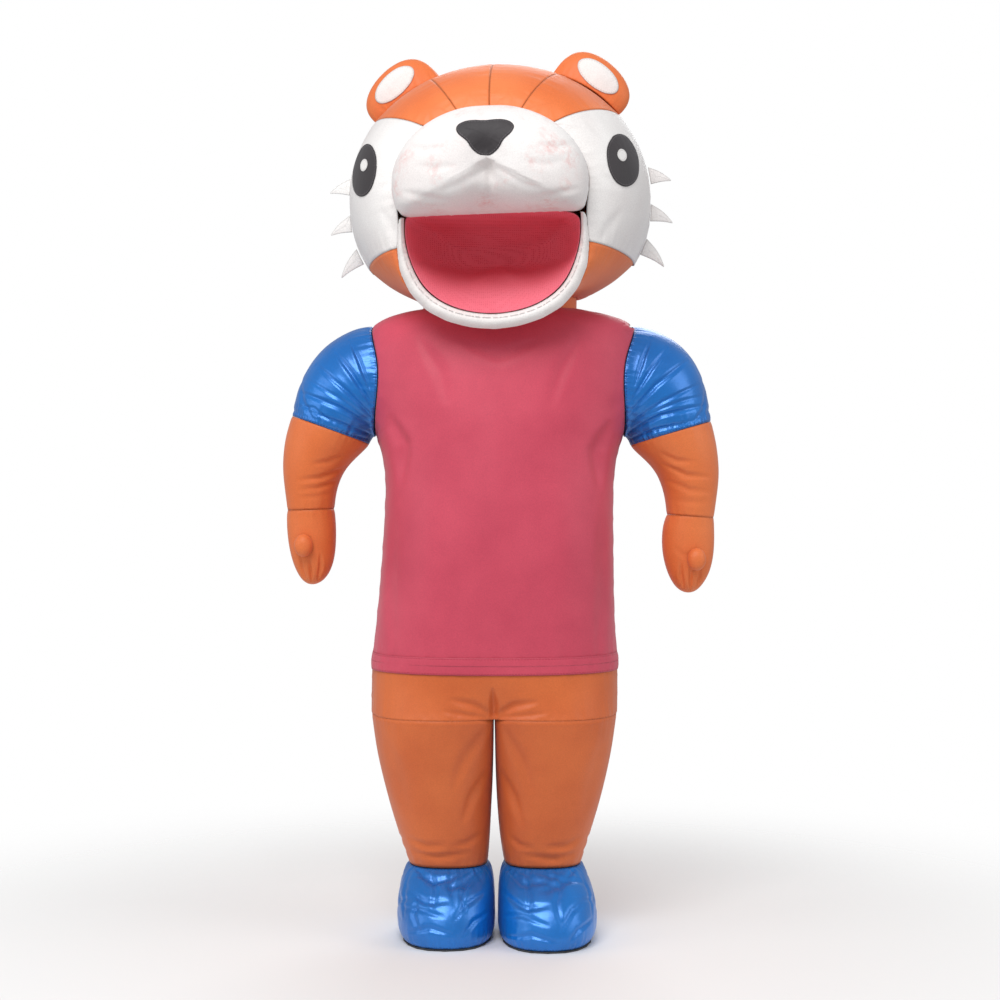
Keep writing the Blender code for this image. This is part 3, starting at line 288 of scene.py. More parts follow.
def nylon(name, colour, deep, rough, sheen, gather, shine=0.4, rumple=0.0006, stitch=None,
          seam_shade=0.76):
    """Coated nylon cloth. gather is the height of its finest seam puckers, and stitch a topstitch colour."""
    cloth = bpy.data.materials.new(name)
    cloth.use_nodes = True
    tree = cloth.node_tree
    shader = tree.nodes["Principled BSDF"]
    shader.inputs["Roughness"].default_value = rough
    shader.inputs["Specular IOR Level"].default_value = shine
    shader.inputs["Sheen Weight"].default_value = sheen
    shader.inputs["Sheen Roughness"].default_value = 0.45
    place = lay(tree, "ShaderNodeTexCoord").outputs["Object"]
    seams = lay(tree, "ShaderNodeUVMap", uv_map="Seams").outputs["UV"]
    parts = lay(tree, "ShaderNodeSeparateXYZ", {"Vector": seams}).outputs
    # The dye is a little uneven over a hand's breadth. The folded seam is painted darker, as painted shade in
    # its groove
    dye = lay(tree, "ShaderNodeTexNoise", {"Vector": place, "Scale": 5.0, "Detail": 3.0, "Roughness": 0.55})
    # Nylon threads are 0.4 mm apart. They are drawn at 3 mm, so that the grain shows at all
    fine = lay(tree, "ShaderNodeTexNoise", {"Vector": place, "Scale": 330.0, "Detail": 2.0})
    patchy = lay(tree, "ShaderNodeMapRange", {
        "Value": dye.outputs["Fac"], "From Min": 0.35, "From Max": 0.68})
    thread = lay(tree, "ShaderNodeMapRange", {
        "Value": fine.outputs["Fac"], "From Min": 0.3, "From Max": 0.7, "To Min": 0.93, "To Max": 1.04})
    # Painted shade: the colour darkens to seam_shade within 4.5 mm of the sheet's edge, for the shade in the
    # seam's groove
    seam = lay(tree, "ShaderNodeMapRange", {
        "Value": parts["Y"], "From Min": 0.0, "From Max": 0.0045, "To Min": seam_shade, "To Max": 1.0},
        interpolation_type="SMOOTHSTEP")
    shade = lay(tree, "ShaderNodeMath", {0: thread.outputs[0], 1: seam.outputs[0]}, operation="MULTIPLY")
    tint = lay(tree, "ShaderNodeMix", {
        "Factor": patchy.outputs[0], 6: linear(deep), 7: linear(colour)}, data_type="RGBA")
    grey = lay(tree, "ShaderNodeCombineColor", {
        "Red": shade.outputs[0], "Green": shade.outputs[0], "Blue": shade.outputs[0]})
    shaded = lay(tree, "ShaderNodeMix", {
        "Factor": 1.0, 6: tint.outputs[2], 7: grey.outputs[0]}, data_type="RGBA", blend_type="MULTIPLY")
    paint = shaded.outputs[2]
    # Puckers run in from the seam: short fine ones, and longer ones that reach a few centimetres
    across = lay(tree, "ShaderNodeCombineXYZ", {"X": parts["X"], "Y": 0.0, "Z": 0.0}).outputs[0]
    slant = lay(tree, "ShaderNodeVectorMath", {0: seams, 1: (1.0, 0.10, 0.0)},
                operation="MULTIPLY").outputs[0]
    short = lay(tree, "ShaderNodeTexNoise", {"Vector": slant, "Scale": 130.0, "Detail": 2.0},
                noise_dimensions="2D")
    longer = lay(tree, "ShaderNodeTexNoise", {"Vector": slant, "Scale": 42.0, "Detail": 1.0},
                 noise_dimensions="2D")
    spread = lay(tree, "ShaderNodeTexNoise", {"Vector": across, "Scale": 9.0}, noise_dimensions="2D")
    short_reach = lay(tree, "ShaderNodeMapRange", {
        "Value": parts["Y"], "From Min": 0.0, "From Max": 0.022, "To Min": gather, "To Max": 0.0},
        interpolation_type="SMOOTHERSTEP")
    long_reach = lay(tree, "ShaderNodeMapRange", {
        "Value": parts["Y"], "From Min": 0.002, "From Max": 0.075, "To Min": 1.9 * gather, "To Max": 0.0},
        interpolation_type="SMOOTHERSTEP")
    short_fold = lay(tree, "ShaderNodeMath", {0: short.outputs["Fac"], 1: short_reach.outputs[0]},
                     operation="MULTIPLY")
    long_fold = lay(tree, "ShaderNodeMath", {0: longer.outputs["Fac"], 1: long_reach.outputs[0]},
                    operation="MULTIPLY")
    uneven = lay(tree, "ShaderNodeMath", {0: long_fold.outputs[0], 1: spread.outputs["Fac"]},
                 operation="MULTIPLY")
    rumpled = lay(tree, "ShaderNodeTexNoise", {"Vector": place, "Scale": 24.0, "Detail": 2.0})
    soft = lay(tree, "ShaderNodeMath", {0: rumpled.outputs["Fac"], 1: rumple}, operation="MULTIPLY")
    grain = lay(tree, "ShaderNodeMath", {0: fine.outputs["Fac"], 1: 0.00012}, operation="MULTIPLY")
    height = lay(tree, "ShaderNodeMath", {0: short_fold.outputs[0], 1: uneven.outputs[0]}, operation="ADD")
    height = lay(tree, "ShaderNodeMath", {0: height.outputs[0], 1: soft.outputs[0]}, operation="ADD")
    height = lay(tree, "ShaderNodeMath", {0: height.outputs[0], 1: grain.outputs[0]}, operation="ADD")
    if stitch:
        # Lock stitches 4.2 mm in from the edge, 5.2 mm long and 7.5 mm apart
        beat = lay(tree, "ShaderNodeMath", {0: parts["X"], 1: STITCH_PITCH}, operation="MODULO")
        on = lay(tree, "ShaderNodeMath", {0: beat.outputs[0], 1: STITCH_LENGTH}, operation="LESS_THAN")
        off = lay(tree, "ShaderNodeMath", {0: parts["Y"], 1: STITCH_INSET, 2: STITCH_HALF_WIDTH},
                  operation="COMPARE")
        dash = lay(tree, "ShaderNodeMath", {0: on.outputs[0], 1: off.outputs[0]}, operation="MULTIPLY")
        thread_mix = lay(tree, "ShaderNodeMix", {
            "Factor": dash.outputs[0], 6: paint, 7: linear(stitch)}, data_type="RGBA")
        paint = thread_mix.outputs[2]
    bump = lay(tree, "ShaderNodeBump", {"Height": height.outputs[0], "Distance": 1.0, "Strength": 1.0})
    tree.links.new(paint, shader.inputs["Base Color"])
    tree.links.new(bump.outputs["Normal"], shader.inputs["Normal"])
    return cloth


# Woven nylon with a thin coating: smooth, evenly dyed, with a faint sheen where it turns away
red_oxford = nylon("red_nylon_oxford", "#D84F65", "#CA445B", 0.52, 0.12, 0.0011)
red_stitched = nylon("red_nylon_topstitched", "#D84F65", "#CA445B", 0.52, 0.12, 0.0011, stitch="#B5344A")

front = cut_cloth("shirt_front", 3)
press(front, "front", [
    (((-0.272, 1.300), (-0.241, 1.236), (-0.246, 1.150)), 0.024, 0.0060),
    (((0.267, 1.285), (0.236, 1.222), (0.243, 1.138)), 0.024, 0.0060),
    (((-0.119, 1.173), (-0.134, 0.954), (-0.124, 0.760)), 0.050, 0.0022),
    (((0.090, 1.149), (0.107, 0.954), (0.097, 0.748)), 0.046, 0.0024),
    (((-0.020, 1.30), (-0.012, 1.05), (-0.024, 0.80)), 0.060, -0.0020),
    (((-0.085, 1.480), (-0.003, 1.450), (0.085, 1.485)), 0.022, 0.0024),
    (((-0.197, 1.492), (-0.148, 1.411), (-0.134, 1.343)), 0.022, 0.0026),
    (((0.187, 1.492), (0.143, 1.406), (0.124, 1.338)), 0.022, 0.0026),
    (((-0.265, 1.051), (-0.275, 0.881), (-0.265, 0.740)), 0.026, 0.0024),
    (((0.250, 1.051), (0.255, 0.881), (0.241, 0.740)), 0.026, 0.0024),
], slack=1.8)
pucker(front, 0.0016, 0.055, 0.045, 1.0)
sew(front, "shirt_front", red_oxford)

for side, sign in (("right", -1), ("left", 1)):
    half = cut_cloth("shirt_back_" + side, 3)
    press(half, "back", [
        (((sign * 0.262, 1.290), (sign * 0.232, 1.225), (sign * 0.238, 1.120)), 0.024, 0.0055),
        (((sign * 0.120, 1.200), (sign * 0.132, 0.980), (sign * 0.118, 0.770)), 0.048, 0.0022),
        (((sign * 0.060, 1.480), (sign * 0.120, 1.400), (sign * 0.128, 1.300)), 0.024, 0.0026),
        (((sign * 0.250, 1.040), (sign * 0.262, 0.860), (sign * 0.250, 0.740)), 0.026, 0.0022),
    ], slack=1.8)
    pucker(half, 0.0015, 0.050, 0.040, 3.0 + sign)
    sew(half, "shirt_back_" + side, red_oxford)

# The hem is a folded band round the shirt's lower edge, topstitched along both of its edges.
hem = cut_cloth("hem_band", 3)
press(hem, "front", [(((-0.040, 0.668), (-0.036, 0.695), (-0.044, 0.722)), 0.010, 0.0016)])
pucker(hem, 0.0012, 0.045, 0.030, 5.0)
sew(hem, "hem_band", red_stitched)


# Back zip
# The wearer gets in by a zip down the middle of the back. Two woven tapes are sewn behind the shirt's
# edges, and each carries a row of nickel plated teeth, shut by a cast metal slider with a hanging pull tab.

TOOTH_PITCH = 0.0028
TOOTH_SIZE = (0.0030, 0.0016, 0.0013)
TOOTH_STEP = 0.0007
TOOTH_RISE = 0.0007
TOOTH_ROUNDING = 0.0003
SAME_LEVEL = 0.0002
WORN_EDGE = 0.00035
ZIP_ENDS = (0.812, 1.488)


def woven_tape(name, colour, deep):
    """A close woven polyester tape: matt, with ribs across it."""
    tape = bpy.data.materials.new(name)
    tape.use_nodes = True
    tree = tape.node_tree
    shader = tree.nodes["Principled BSDF"]
    shader.inputs["Roughness"].default_value = 0.75
    place = lay(tree, "ShaderNodeTexCoord").outputs["Object"]
    # Ribs about 2 mm apart
    rib = lay(tree, "ShaderNodeTexWave", {"Vector": place, "Scale": 160.0, "Distortion": 0.6},
              bands_direction="Z")
    worn = lay(tree, "ShaderNodeTexNoise", {"Vector": place, "Scale": 60.0})
    mixed = lay(tree, "ShaderNodeMath", {0: rib.outputs["Fac"], 1: worn.outputs["Fac"]},
                operation="MULTIPLY")
    tint = lay(tree, "ShaderNodeMix", {
        "Factor": mixed.outputs[0], 6: linear(deep), 7: linear(colour)}, data_type="RGBA")
    bump = lay(tree, "ShaderNodeBump", {"Height": rib.outputs["Fac"], "Distance": 0.0002, "Strength": 1.0})
    tree.links.new(tint.outputs[2], shader.inputs["Base Color"])
    tree.links.new(bump.outputs["Normal"], shader.inputs["Normal"])
    return tape


def cast_metal(name):
    """Nickel plated zinc: grey, polished on its high faces and duller in its pits."""
    metal = bpy.data.materials.new(name)
    metal.use_nodes = True
    tree = metal.node_tree
    shader = tree.nodes["Principled BSDF"]
    shader.inputs["Metallic"].default_value = 1.0
    place = lay(tree, "ShaderNodeTexCoord").outputs["Object"]
    cloud = lay(tree, "ShaderNodeTexNoise", {"Vector": place, "Scale": 300.0, "Detail": 3.0})
    tint = lay(tree, "ShaderNodeMix", {
        "Factor": cloud.outputs["Fac"], 6: linear("#8E8D8A"), 7: linear("#C9C7C2")}, data_type="RGBA")
    gloss = lay(tree, "ShaderNodeMapRange", {"Value": cloud.outputs["Fac"], "To Min": 0.25, "To Max": 0.50})
    tree.links.new(tint.outputs[2], shader.inputs["Base Color"])
    tree.links.new(gloss.outputs[0], shader.inputs["Roughness"])
    return metal


def coat(part, material):
    """Gives a CAD piece one material in place of its own."""
    part.data.materials.clear()
    part.data.materials.append(material)


red_tape = woven_tape("zip_tape_woven_polyester", "#B5283C", "#8C1C2E")
nickel = cast_metal("nickel_plated_zinc")

for side in ("right", "left"):
    coat(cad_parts["zip_tape_" + side], red_tape)

for node in ("zip_slider", "zip_pull"):
    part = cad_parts[node]
    coat(part, nickel)
    edge = part.modifiers.new("worn_edges", "BEVEL")
    edge.width = WORN_EDGE
    edge.segments = 2
    edge.limit_method = "ANGLE"

# The teeth follow the middle of the tapes up the back, left and right in turn
tapes = [v.co.copy() for side in ("right", "left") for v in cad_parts["zip_tape_" + side].data.vertices]
levels = sorted({round(v.z, 4) for v in tapes})
spine = [(z, max(v.y for v in tapes if abs(v.z - z) < SAME_LEVEL)) for z in levels]
middle_x = sum(v.x for v in tapes) / len(tapes)
bpy.ops.mesh.primitive_cube_add(size=1.0, location=(0, 0, 0))
tooth = bpy.context.object
tooth.scale = TOOTH_SIZE
bpy.ops.object.transform_apply(location=False, rotation=False, scale=True)
round_off = tooth.modifiers.new("round", "BEVEL")
round_off.width = TOOTH_ROUNDING
round_off.segments = 1
bpy.ops.object.modifier_apply(modifier="round")
count = int((ZIP_ENDS[1] - ZIP_ENDS[0]) / TOOTH_PITCH)
teeth = []
for n in range(count):
    z = ZIP_ENDS[0] + n * TOOTH_PITCH
    y = float(np.interp(z, [s[0] for s in spine], [s[1] for s in spine])) + TOOTH_RISE
    copy = bpy.data.objects.new("tooth", tooth.data.copy())
    copy.data.transform(Matrix.Translation((middle_x + (TOOTH_STEP if n % 2 else -TOOTH_STEP), y, z)))
    bpy.context.scene.collection.objects.link(copy)
    teeth.append(copy)
bpy.data.objects.remove(tooth, do_unlink=True)
bpy.ops.object.select_all(action="DESELECT")
for copy in teeth:
    copy.select_set(True)
bpy.context.view_layer.objects.active = teeth[0]
bpy.ops.object.join()
chain = bpy.context.object
chain.name = "zip_teeth"
chain.data.materials.append(nickel)
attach(chain, "suit")


# Sleeves
# The short sleeves are polyester satin, gathered into the armhole and hemmed with a narrow rolled edge. Air
# pulls them tight between armpit and shoulder, so sharp creases fan out from the lower armhole.

# Satin floats its warp threads on the face: deep blue, with a broad bright gloss across the threads
blue_satin = nylon(
    "blue_polyester_satin", "#007CD8", "#006CC2", 0.32, 0.03, 0.0032, shine=0.9, rumple=0.0014,
    stitch="#0A4A94")
blue_satin.node_tree.nodes["Principled BSDF"].inputs["Metallic"].default_value = 0.30
SLEEVE_FANS = {
    "right": [
        (((-0.318, 1.262), (-0.390, 1.286), (-0.478, 1.322)), 0.0085, 0.0034),
        (((-0.314, 1.280), (-0.403, 1.330), (-0.505, 1.372)), 0.0100, 0.0042),
        (((-0.316, 1.302), (-0.383, 1.370), (-0.465, 1.440)), 0.0090, 0.0036),
        (((-0.321, 1.335), (-0.370, 1.413), (-0.420, 1.478)), 0.0100, 0.0040),
        (((-0.326, 1.375), (-0.355, 1.450), (-0.380, 1.502)), 0.0085, 0.0030),
        (((-0.320, 1.251), (-0.378, 1.262), (-0.462, 1.290)), 0.0070, 0.0026),
        (((-0.330, 1.302), (-0.408, 1.356), (-0.486, 1.402)), 0.0075, 0.0024),
        (((-0.470, 1.300), (-0.500, 1.350), (-0.508, 1.400)), 0.0090, 0.0022),
        (((-0.430, 1.300), (-0.470, 1.330), (-0.520, 1.338)), 0.0070, 0.0020),
    ],
    "left": [
        (((0.310, 1.248), (0.385, 1.275), (0.494, 1.300)), 0.0085, 0.0036),
        (((0.310, 1.266), (0.398, 1.310), (0.516, 1.340)), 0.0095, 0.0042),
        (((0.312, 1.285), (0.403, 1.345), (0.500, 1.392)), 0.0080, 0.0032),
        (((0.318, 1.312), (0.385, 1.385), (0.470, 1.452)), 0.0100, 0.0040),
        (((0.325, 1.348), (0.372, 1.425), (0.418, 1.482)), 0.0085, 0.0034),
        (((0.333, 1.388), (0.357, 1.460), (0.378, 1.508)), 0.0080, 0.0028),
        (((0.318, 1.242), (0.372, 1.250), (0.460, 1.274)), 0.0065, 0.0024),
        (((0.335, 1.300), (0.430, 1.340), (0.515, 1.365)), 0.0070, 0.0024),
        (((0.480, 1.290), (0.512, 1.330), (0.520, 1.385)), 0.0085, 0.0022),
    ],
}
for side, sign, area in (("right", -1, 0.1671), ("left", 1, 0.1763)):
    sleeve = cut_cloth("sleeve_" + side, 4)
    fan = SLEEVE_FANS[side]
    press(sleeve, "front", [(path, width * 0.85, depth) for path, width, depth in fan], slack=1.5)
    other = SLEEVE_FANS["left" if side == "right" else "right"]
    press(sleeve, "back", [([(-x, z - 0.006 * n) for n, (x, z) in enumerate(path)], width, depth)
                           for path, width, depth in other], slack=1.4)
    press(sleeve, side, [
        (((-0.06, 1.300), (0.02, 1.330), (0.10, 1.322)), 0.010, 0.0024),
        (((0.00, 1.430), (0.05, 1.390), (0.13, 1.400)), 0.012, 0.0026),
        (((0.04, 1.480), (0.06, 1.440), (0.05, 1.370)), 0.010, 0.0020),
    ])
    pucker(sleeve, 0.0019, 0.024, 0.026, 7.0 + sign)
    sew(sleeve, "sleeve_" + side, blue_satin)


# Arms and mitts
# Each arm is a tube of orange nylon oxford sewn to the sleeve's hem, and the mitt is sewn on at the wrist.
# The mitt has no separate fingers, only stitched ridges and a small stuffed thumb.

orange_oxford = nylon("orange_nylon_oxford", "#F08248", "#E6743A", 0.50, 0.10, 0.0014)
WRIST_REACH = 0.006
WRIST_STRETCH = 0.0011
for side, sign, arm_area, mitt_area in (
        ("right", -1, 0.1216, 0.0702), ("left", 1, 0.1257, 0.0747)):
    arm = cut_cloth("arm_" + side, 3)
    bends = {
        "right": [
            (((-0.400, 1.180), (-0.454, 1.156), (-0.512, 1.150)), 0.0085, 0.0036),
            (((-0.412, 1.150), (-0.464, 1.130), (-0.510, 1.126)), 0.0080, 0.0030),
            (((-0.400, 1.212), (-0.434, 1.196), (-0.475, 1.190)), 0.0090, 0.0026),
            (((-0.430, 1.118), (-0.470, 1.108), (-0.520, 1.104)), 0.0080, 0.0016),
        ],
        "left": [
            (((0.410, 1.190), (0.464, 1.163), (0.528, 1.158)), 0.0085, 0.0036),
            (((0.420, 1.150), (0.475, 1.125), (0.530, 1.122)), 0.0080, 0.0030),
            (((0.404, 1.218), (0.439, 1.199), (0.486, 1.195)), 0.0090, 0.0026),
            (((0.430, 1.100), (0.480, 1.094), (0.530, 1.092)), 0.0080, 0.0016),
        ],
    }[side]
    press(arm, "front", bends, slack=1.6)
    press(arm, "back", [([(x, z - 0.008) for x, z in path], width, depth * 0.9)
                        for path, width, depth in bends], slack=1.6)
    pucker(arm, 0.0013, 0.022, 0.022, 9.0 + sign)
    sew(arm, "arm_" + side, orange_oxford)

    mitt = cut_cloth("hand_" + side, 3)
    x = sign * 0.482
    tip = 0.883 if side == "right" else 0.862
    ridges = [
        (((x - 0.026, tip + 0.078), (x - 0.025, tip + 0.045), (x - 0.017, tip + 0.016)), 0.0060, 0.0042),
        (((x - 0.002, tip + 0.066), (x - 0.001, tip + 0.036), (x, tip + 0.010)), 0.0060, 0.0046),
        (((x + 0.024, tip + 0.078), (x + 0.024, tip + 0.046), (x + 0.016, tip + 0.016)), 0.0060, 0.0040),
        (((x - 0.045, tip + 0.120), (x - 0.020, tip + 0.098), (x + 0.010, tip + 0.092)), 0.0080, 0.0018),
    ]
    press(mitt, "front", ridges, slack=1.4)
    press(mitt, "back", [(path, width, depth * 0.8) for path, width, depth in ridges[:3]])
    pucker(mitt, 0.0014, 0.020, 0.016, 11.0 + sign)
    # The mitt's edge is stretched up to meet the arm's
    places = read(mitt, "co")
    places[:, 2] += WRIST_STRETCH * (1.0 - ease(np.array(mitt["edge_near"]), 0.0, WRIST_REACH))
    write(mitt, places)
    sew(mitt, "hand_" + side, orange_oxford)

    thumb = cut_cloth("thumb_" + side, 2, turn=80.0)
    pucker(thumb, 0.0010, 0.014, 0.010, 13.0 + sign)
    sew(thumb, "thumb_" + side, orange_oxford)


# Hips and legs
# The hips are cut as a front and a back that end at the crotch, and each leg is a tube of the same orange
# oxford that tapers to the ankle. Creases spread from the crotch and over the shoes.

LEG_SEAM_DIP = 0.0001
SEAT_CREASES = [
    (((-0.017, 0.552), (-0.017, 0.591), (-0.020, 0.635)), 0.0130, 0.0070),
    (((-0.022, 0.572), (-0.066, 0.598), (-0.122, 0.612)), 0.0130, 0.0038),
    (((-0.012, 0.572), (0.032, 0.597), (0.088, 0.607)), 0.0130, 0.0038),
    (((-0.024, 0.566), (-0.078, 0.572), (-0.138, 0.584)), 0.0110, 0.0024),
    (((-0.010, 0.566), (0.046, 0.571), (0.108, 0.580)), 0.0110, 0.0024),
]
# The legs are dyed a little deeper than the rest
orange_legs = nylon(
    "orange_nylon_oxford_deeper_dye", "#DD7038", "#D06430", 0.50, 0.10, 0.0014, seam_shade=0.95)
for name, facing, area in (("seat_front", "front", 0.1281), ("seat_back", "back", 0.1286)):
    seat = cut_cloth(name, 4)
    press(seat, facing, SEAT_CREASES, slack=1.5)
    pucker(seat, 0.0014, 0.040, 0.030, 15.0, dip=LEG_SEAM_DIP)
    sew(seat, name, orange_legs)

LEG_CREASES = {
    "right": [
        (((-0.040, 0.535), (-0.090, 0.461), (-0.118, 0.387)), 0.0180, 0.0036),
        (((-0.034, 0.430), (-0.072, 0.363), (-0.094, 0.299)), 0.0150, 0.0030),
        (((-0.232, 0.252), (-0.189, 0.235), (-0.135, 0.238)), 0.0100, 0.0030),
        (((-0.222, 0.216), (-0.160, 0.206), (-0.080, 0.218)), 0.0100, 0.0032),
        (((-0.050, 0.262), (-0.086, 0.242), (-0.125, 0.234)), 0.0090, 0.0026),
        (((-0.280, 0.500), (-0.262, 0.430), (-0.236, 0.330)), 0.0300, 0.0020),
    ],
    "left": [
        (((0.010, 0.535), (0.050, 0.456), (0.074, 0.382)), 0.0180, 0.0036),
        (((-0.001, 0.425), (0.032, 0.358), (0.052, 0.294)), 0.0150, 0.0030),
        (((0.198, 0.252), (0.160, 0.233), (0.111, 0.235)), 0.0100, 0.0030),
        (((0.190, 0.212), (0.130, 0.201), (0.050, 0.213)), 0.0100, 0.0032),
        (((0.020, 0.256), (0.047, 0.236), (0.086, 0.228)), 0.0090, 0.0026),
        (((0.252, 0.500), (0.236, 0.430), (0.212, 0.330)), 0.0300, 0.0020),
    ],
}
for side, sign in (("right", -1), ("left", 1)):
    leg = cut_cloth("leg_" + side, 3)
    press(leg, "front", LEG_CREASES[side], slack=2.0)
    press(leg, "back", [([(x * 0.94 - 0.004, z + 0.010) for x, z in path], width * 1.1, depth * 0.9)
                        for path, width, depth in LEG_CREASES[side]], slack=2.0)
    press(leg, side, [
        (((-0.02, 0.250), (0.05, 0.236), (0.13, 0.246)), 0.010, 0.0026),
        (((0.00, 0.214), (0.06, 0.206), (0.12, 0.212)), 0.010, 0.0028),
    ])
    pucker(leg, 0.0015, 0.034, 0.028, 17.0 + sign, dip=LEG_SEAM_DIP)
    sew(leg, "leg_" + side, orange_legs)


# Shoes
# The shoes are satin uppers over slack padding, gathered at the ankle seam and glued and sewn to a thin
# flat sole of foam rubber. Their slack cloth crumples, most of all over the toes.

SHOE_CREASES = {
    "right": [
        (((-0.219, 0.176), (-0.175, 0.156), (-0.120, 0.159)), 0.0085, 0.0040),
        (((-0.040, 0.176), (-0.081, 0.156), (-0.130, 0.142)), 0.0085, 0.0044),
        (((-0.240, 0.137), (-0.189, 0.112), (-0.125, 0.117)), 0.0080, 0.0042),
        (((-0.245, 0.088), (-0.199, 0.097), (-0.140, 0.083)), 0.0075, 0.0038),
        (((-0.040, 0.127), (-0.086, 0.107), (-0.116, 0.073)), 0.0080, 0.0042),
        (((-0.229, 0.038), (-0.175, 0.058), (-0.120, 0.043)), 0.0080, 0.0036),
        (((-0.027, 0.083), (-0.066, 0.068), (-0.096, 0.034)), 0.0070, 0.0034),
        (((-0.175, 0.172), (-0.160, 0.137), (-0.170, 0.093)), 0.0075, 0.0030),
        (((-0.076, 0.168), (-0.096, 0.127), (-0.086, 0.088)), 0.0075, 0.0030),
        (((-0.205, 0.120), (-0.215, 0.080), (-0.200, 0.045)), 0.0080, 0.0028),
    ],
    "left": [
        (((0.010, 0.173), (0.052, 0.151), (0.106, 0.156)), 0.0085, 0.0042),
        (((0.190, 0.176), (0.150, 0.151), (0.096, 0.137)), 0.0085, 0.0040),
        (((0.002, 0.127), (0.056, 0.102), (0.120, 0.112)), 0.0080, 0.0044),
        (((-0.003, 0.073), (0.052, 0.088), (0.115, 0.068)), 0.0075, 0.0036),
        (((0.219, 0.117), (0.174, 0.097), (0.145, 0.058)), 0.0080, 0.0042),
        (((0.017, 0.030), (0.076, 0.045), (0.135, 0.028)), 0.0075, 0.0034),
        (((0.228, 0.068), (0.189, 0.053), (0.160, 0.022)), 0.0070, 0.0034),
        (((0.061, 0.166), (0.071, 0.122), (0.061, 0.083)), 0.0080, 0.0030),
        (((0.155, 0.166), (0.135, 0.117), (0.145, 0.073)), 0.0075, 0.0032),
    ],
}
# Foam rubber with a fine pitted skin: near black, matt, a little dusty on the faces that touch the ground
sole_rubber = bpy.data.materials.new("foam_rubber_sole")
sole_rubber.use_nodes = True
tree = sole_rubber.node_tree
shader = tree.nodes["Principled BSDF"]
shader.inputs["Roughness"].default_value = 0.85
place = lay(tree, "ShaderNodeTexCoord").outputs["Object"]
pits = lay(tree, "ShaderNodeTexVoronoi", {"Vector": place, "Scale": 420.0})
dust = lay(tree, "ShaderNodeTexNoise", {"Vector": place, "Scale": 28.0, "Detail": 4.0})
tint = lay(tree, "ShaderNodeMix", {
    "Factor": dust.outputs["Fac"], 6: linear("#22252C"), 7: linear("#4A4B4F")}, data_type="RGBA")
bump = lay(tree, "ShaderNodeBump", {"Height": pits.outputs["Distance"], "Distance": 0.0006, "Strength": 1.0})
tree.links.new(tint.outputs[2], shader.inputs["Base Color"])
tree.links.new(bump.outputs["Normal"], shader.inputs["Normal"])

for side, sign, area in (("right", -1, 0.1858), ("left", 1, 0.1954)):
    shoe = cut_cloth("shoe_" + side, 3)
    press(shoe, "front", SHOE_CREASES[side], slack=1.4)
    press(shoe, "back", [([(x * 0.9 - 0.008, z - 0.004) for x, z in path], width, depth * 0.8)
                         for path, width, depth in SHOE_CREASES[side]], slack=1.4)
    press(shoe, side, [
        (((-0.14, 0.120), (-0.06, 0.100), (0.02, 0.118)), 0.010, 0.0040),
        (((-0.10, 0.060), (0.00, 0.080), (0.10, 0.060)), 0.010, 0.0036),
        (((0.02, 0.150), (0.08, 0.120), (0.16, 0.128)), 0.010, 0.0036),
        (((-0.04, 0.160), (-0.08, 0.120), (-0.12, 0.070)), 0.010, 0.0034),
    ])
    press(shoe, "above", [
        (((sign * 0.215, -0.060), (sign * 0.160, -0.100), (sign * 0.100, -0.080)), 0.010, 0.0040),
        (((sign * 0.050, -0.060), (sign * 0.090, -0.110), (sign * 0.140, -0.120)), 0.010, 0.0036),
        (((sign * 0.120, -0.070), (sign * 0.125, -0.110), (sign * 0.115, -0.160)), 0.010, 0.0032),
    ])
    pucker(shoe, 0.0026, 0.020, 0.030, 19.0 + sign)
    sew(shoe, "shoe_" + side, blue_satin)
    coat(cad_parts["sole_" + side], sole_rubber)


# Head
# The head is sewn from orange gores over the crown, side, back and under panels in the same oxford, and a
# white cheek each side. The seams pucker, and the short neck tube passes down inside the shirt's neckline.

NECK_TOP = 1.600
NECK_TUCK = 0.010
NECK_TUCK_REACH = 0.020
white_oxford = nylon("white_nylon_oxford", "#F4F1EE", "#ECE6E3", 0.55, 0.10, 0.0012)
for name, flat, area, seed in (
        ("crown_left", (0.18, 0.80), 0.1105, 21.0), ("crown_right", (0.18, 0.80), 0.1105, 22.0),
        ("crown_left_side", (0.19, 0.80), 0.1186, 23.0), ("crown_right_side", (0.19, 0.80), 0.1186, 24.0),
        ("head_side_left", (0.38, 0.34), 0.1079, 25.0), ("head_side_right", (0.38, 0.34), 0.1079, 26.0),
        ("head_under", (0.78, 0.75), 0.3427, 27.0), ("head_back", (0.39, 0.34), 0.104, 28.0),
        ("neck", (1.20, 0.065), 0.0765, 29.0)):
    panel = cut_cloth(name, 3 if name != "neck" else 2)
    pucker(panel, 0.0016, 0.030, 0.026, seed)
    if name == "neck":
        # Its upper edge is turned up inside the head, behind the under panel
        places = read(panel, "co")
        places[:, 2] += NECK_TUCK * ease(places[:, 2], NECK_TOP - NECK_TUCK_REACH, NECK_TOP)
        write(panel, places)
    sew(panel, name, orange_oxford)

cheeks = {}
for side, sign in (("right", -1), ("left", 1)):
    cheek = cut_cloth("cheek_" + side, 3)
    press(cheek, "front", [
        (((sign * 0.225, 1.700), (sign * 0.262, 1.760), (sign * 0.290, 1.800)), 0.016, 0.0034),
        (((sign * 0.200, 2.020), (sign * 0.235, 1.985), (sign * 0.275, 1.972)), 0.014, 0.0030),
        (((sign * 0.235, 1.880), (sign * 0.262, 1.868), (sign * 0.290, 1.850)), 0.014, 0.0024),
    ])
    pucker(cheek, 0.0018, 0.026, 0.028, 31.0 + sign)
    cheeks[side] = cheek
    sew(cheek, "cheek_" + side, white_oxford)

# Each cheek ends in three pointed tabs of doubled cloth, turned right side out and caught in the seam
for side in ("right", "left"):
    for index, area in ((1, 0.0014), (2, 0.0016), (3, 0.0019)):
        name = f"tuft_{side}_{index}"
        tuft = cut_cloth(name, 3, turn=70.0)
        sew(tuft, name, white_oxford)


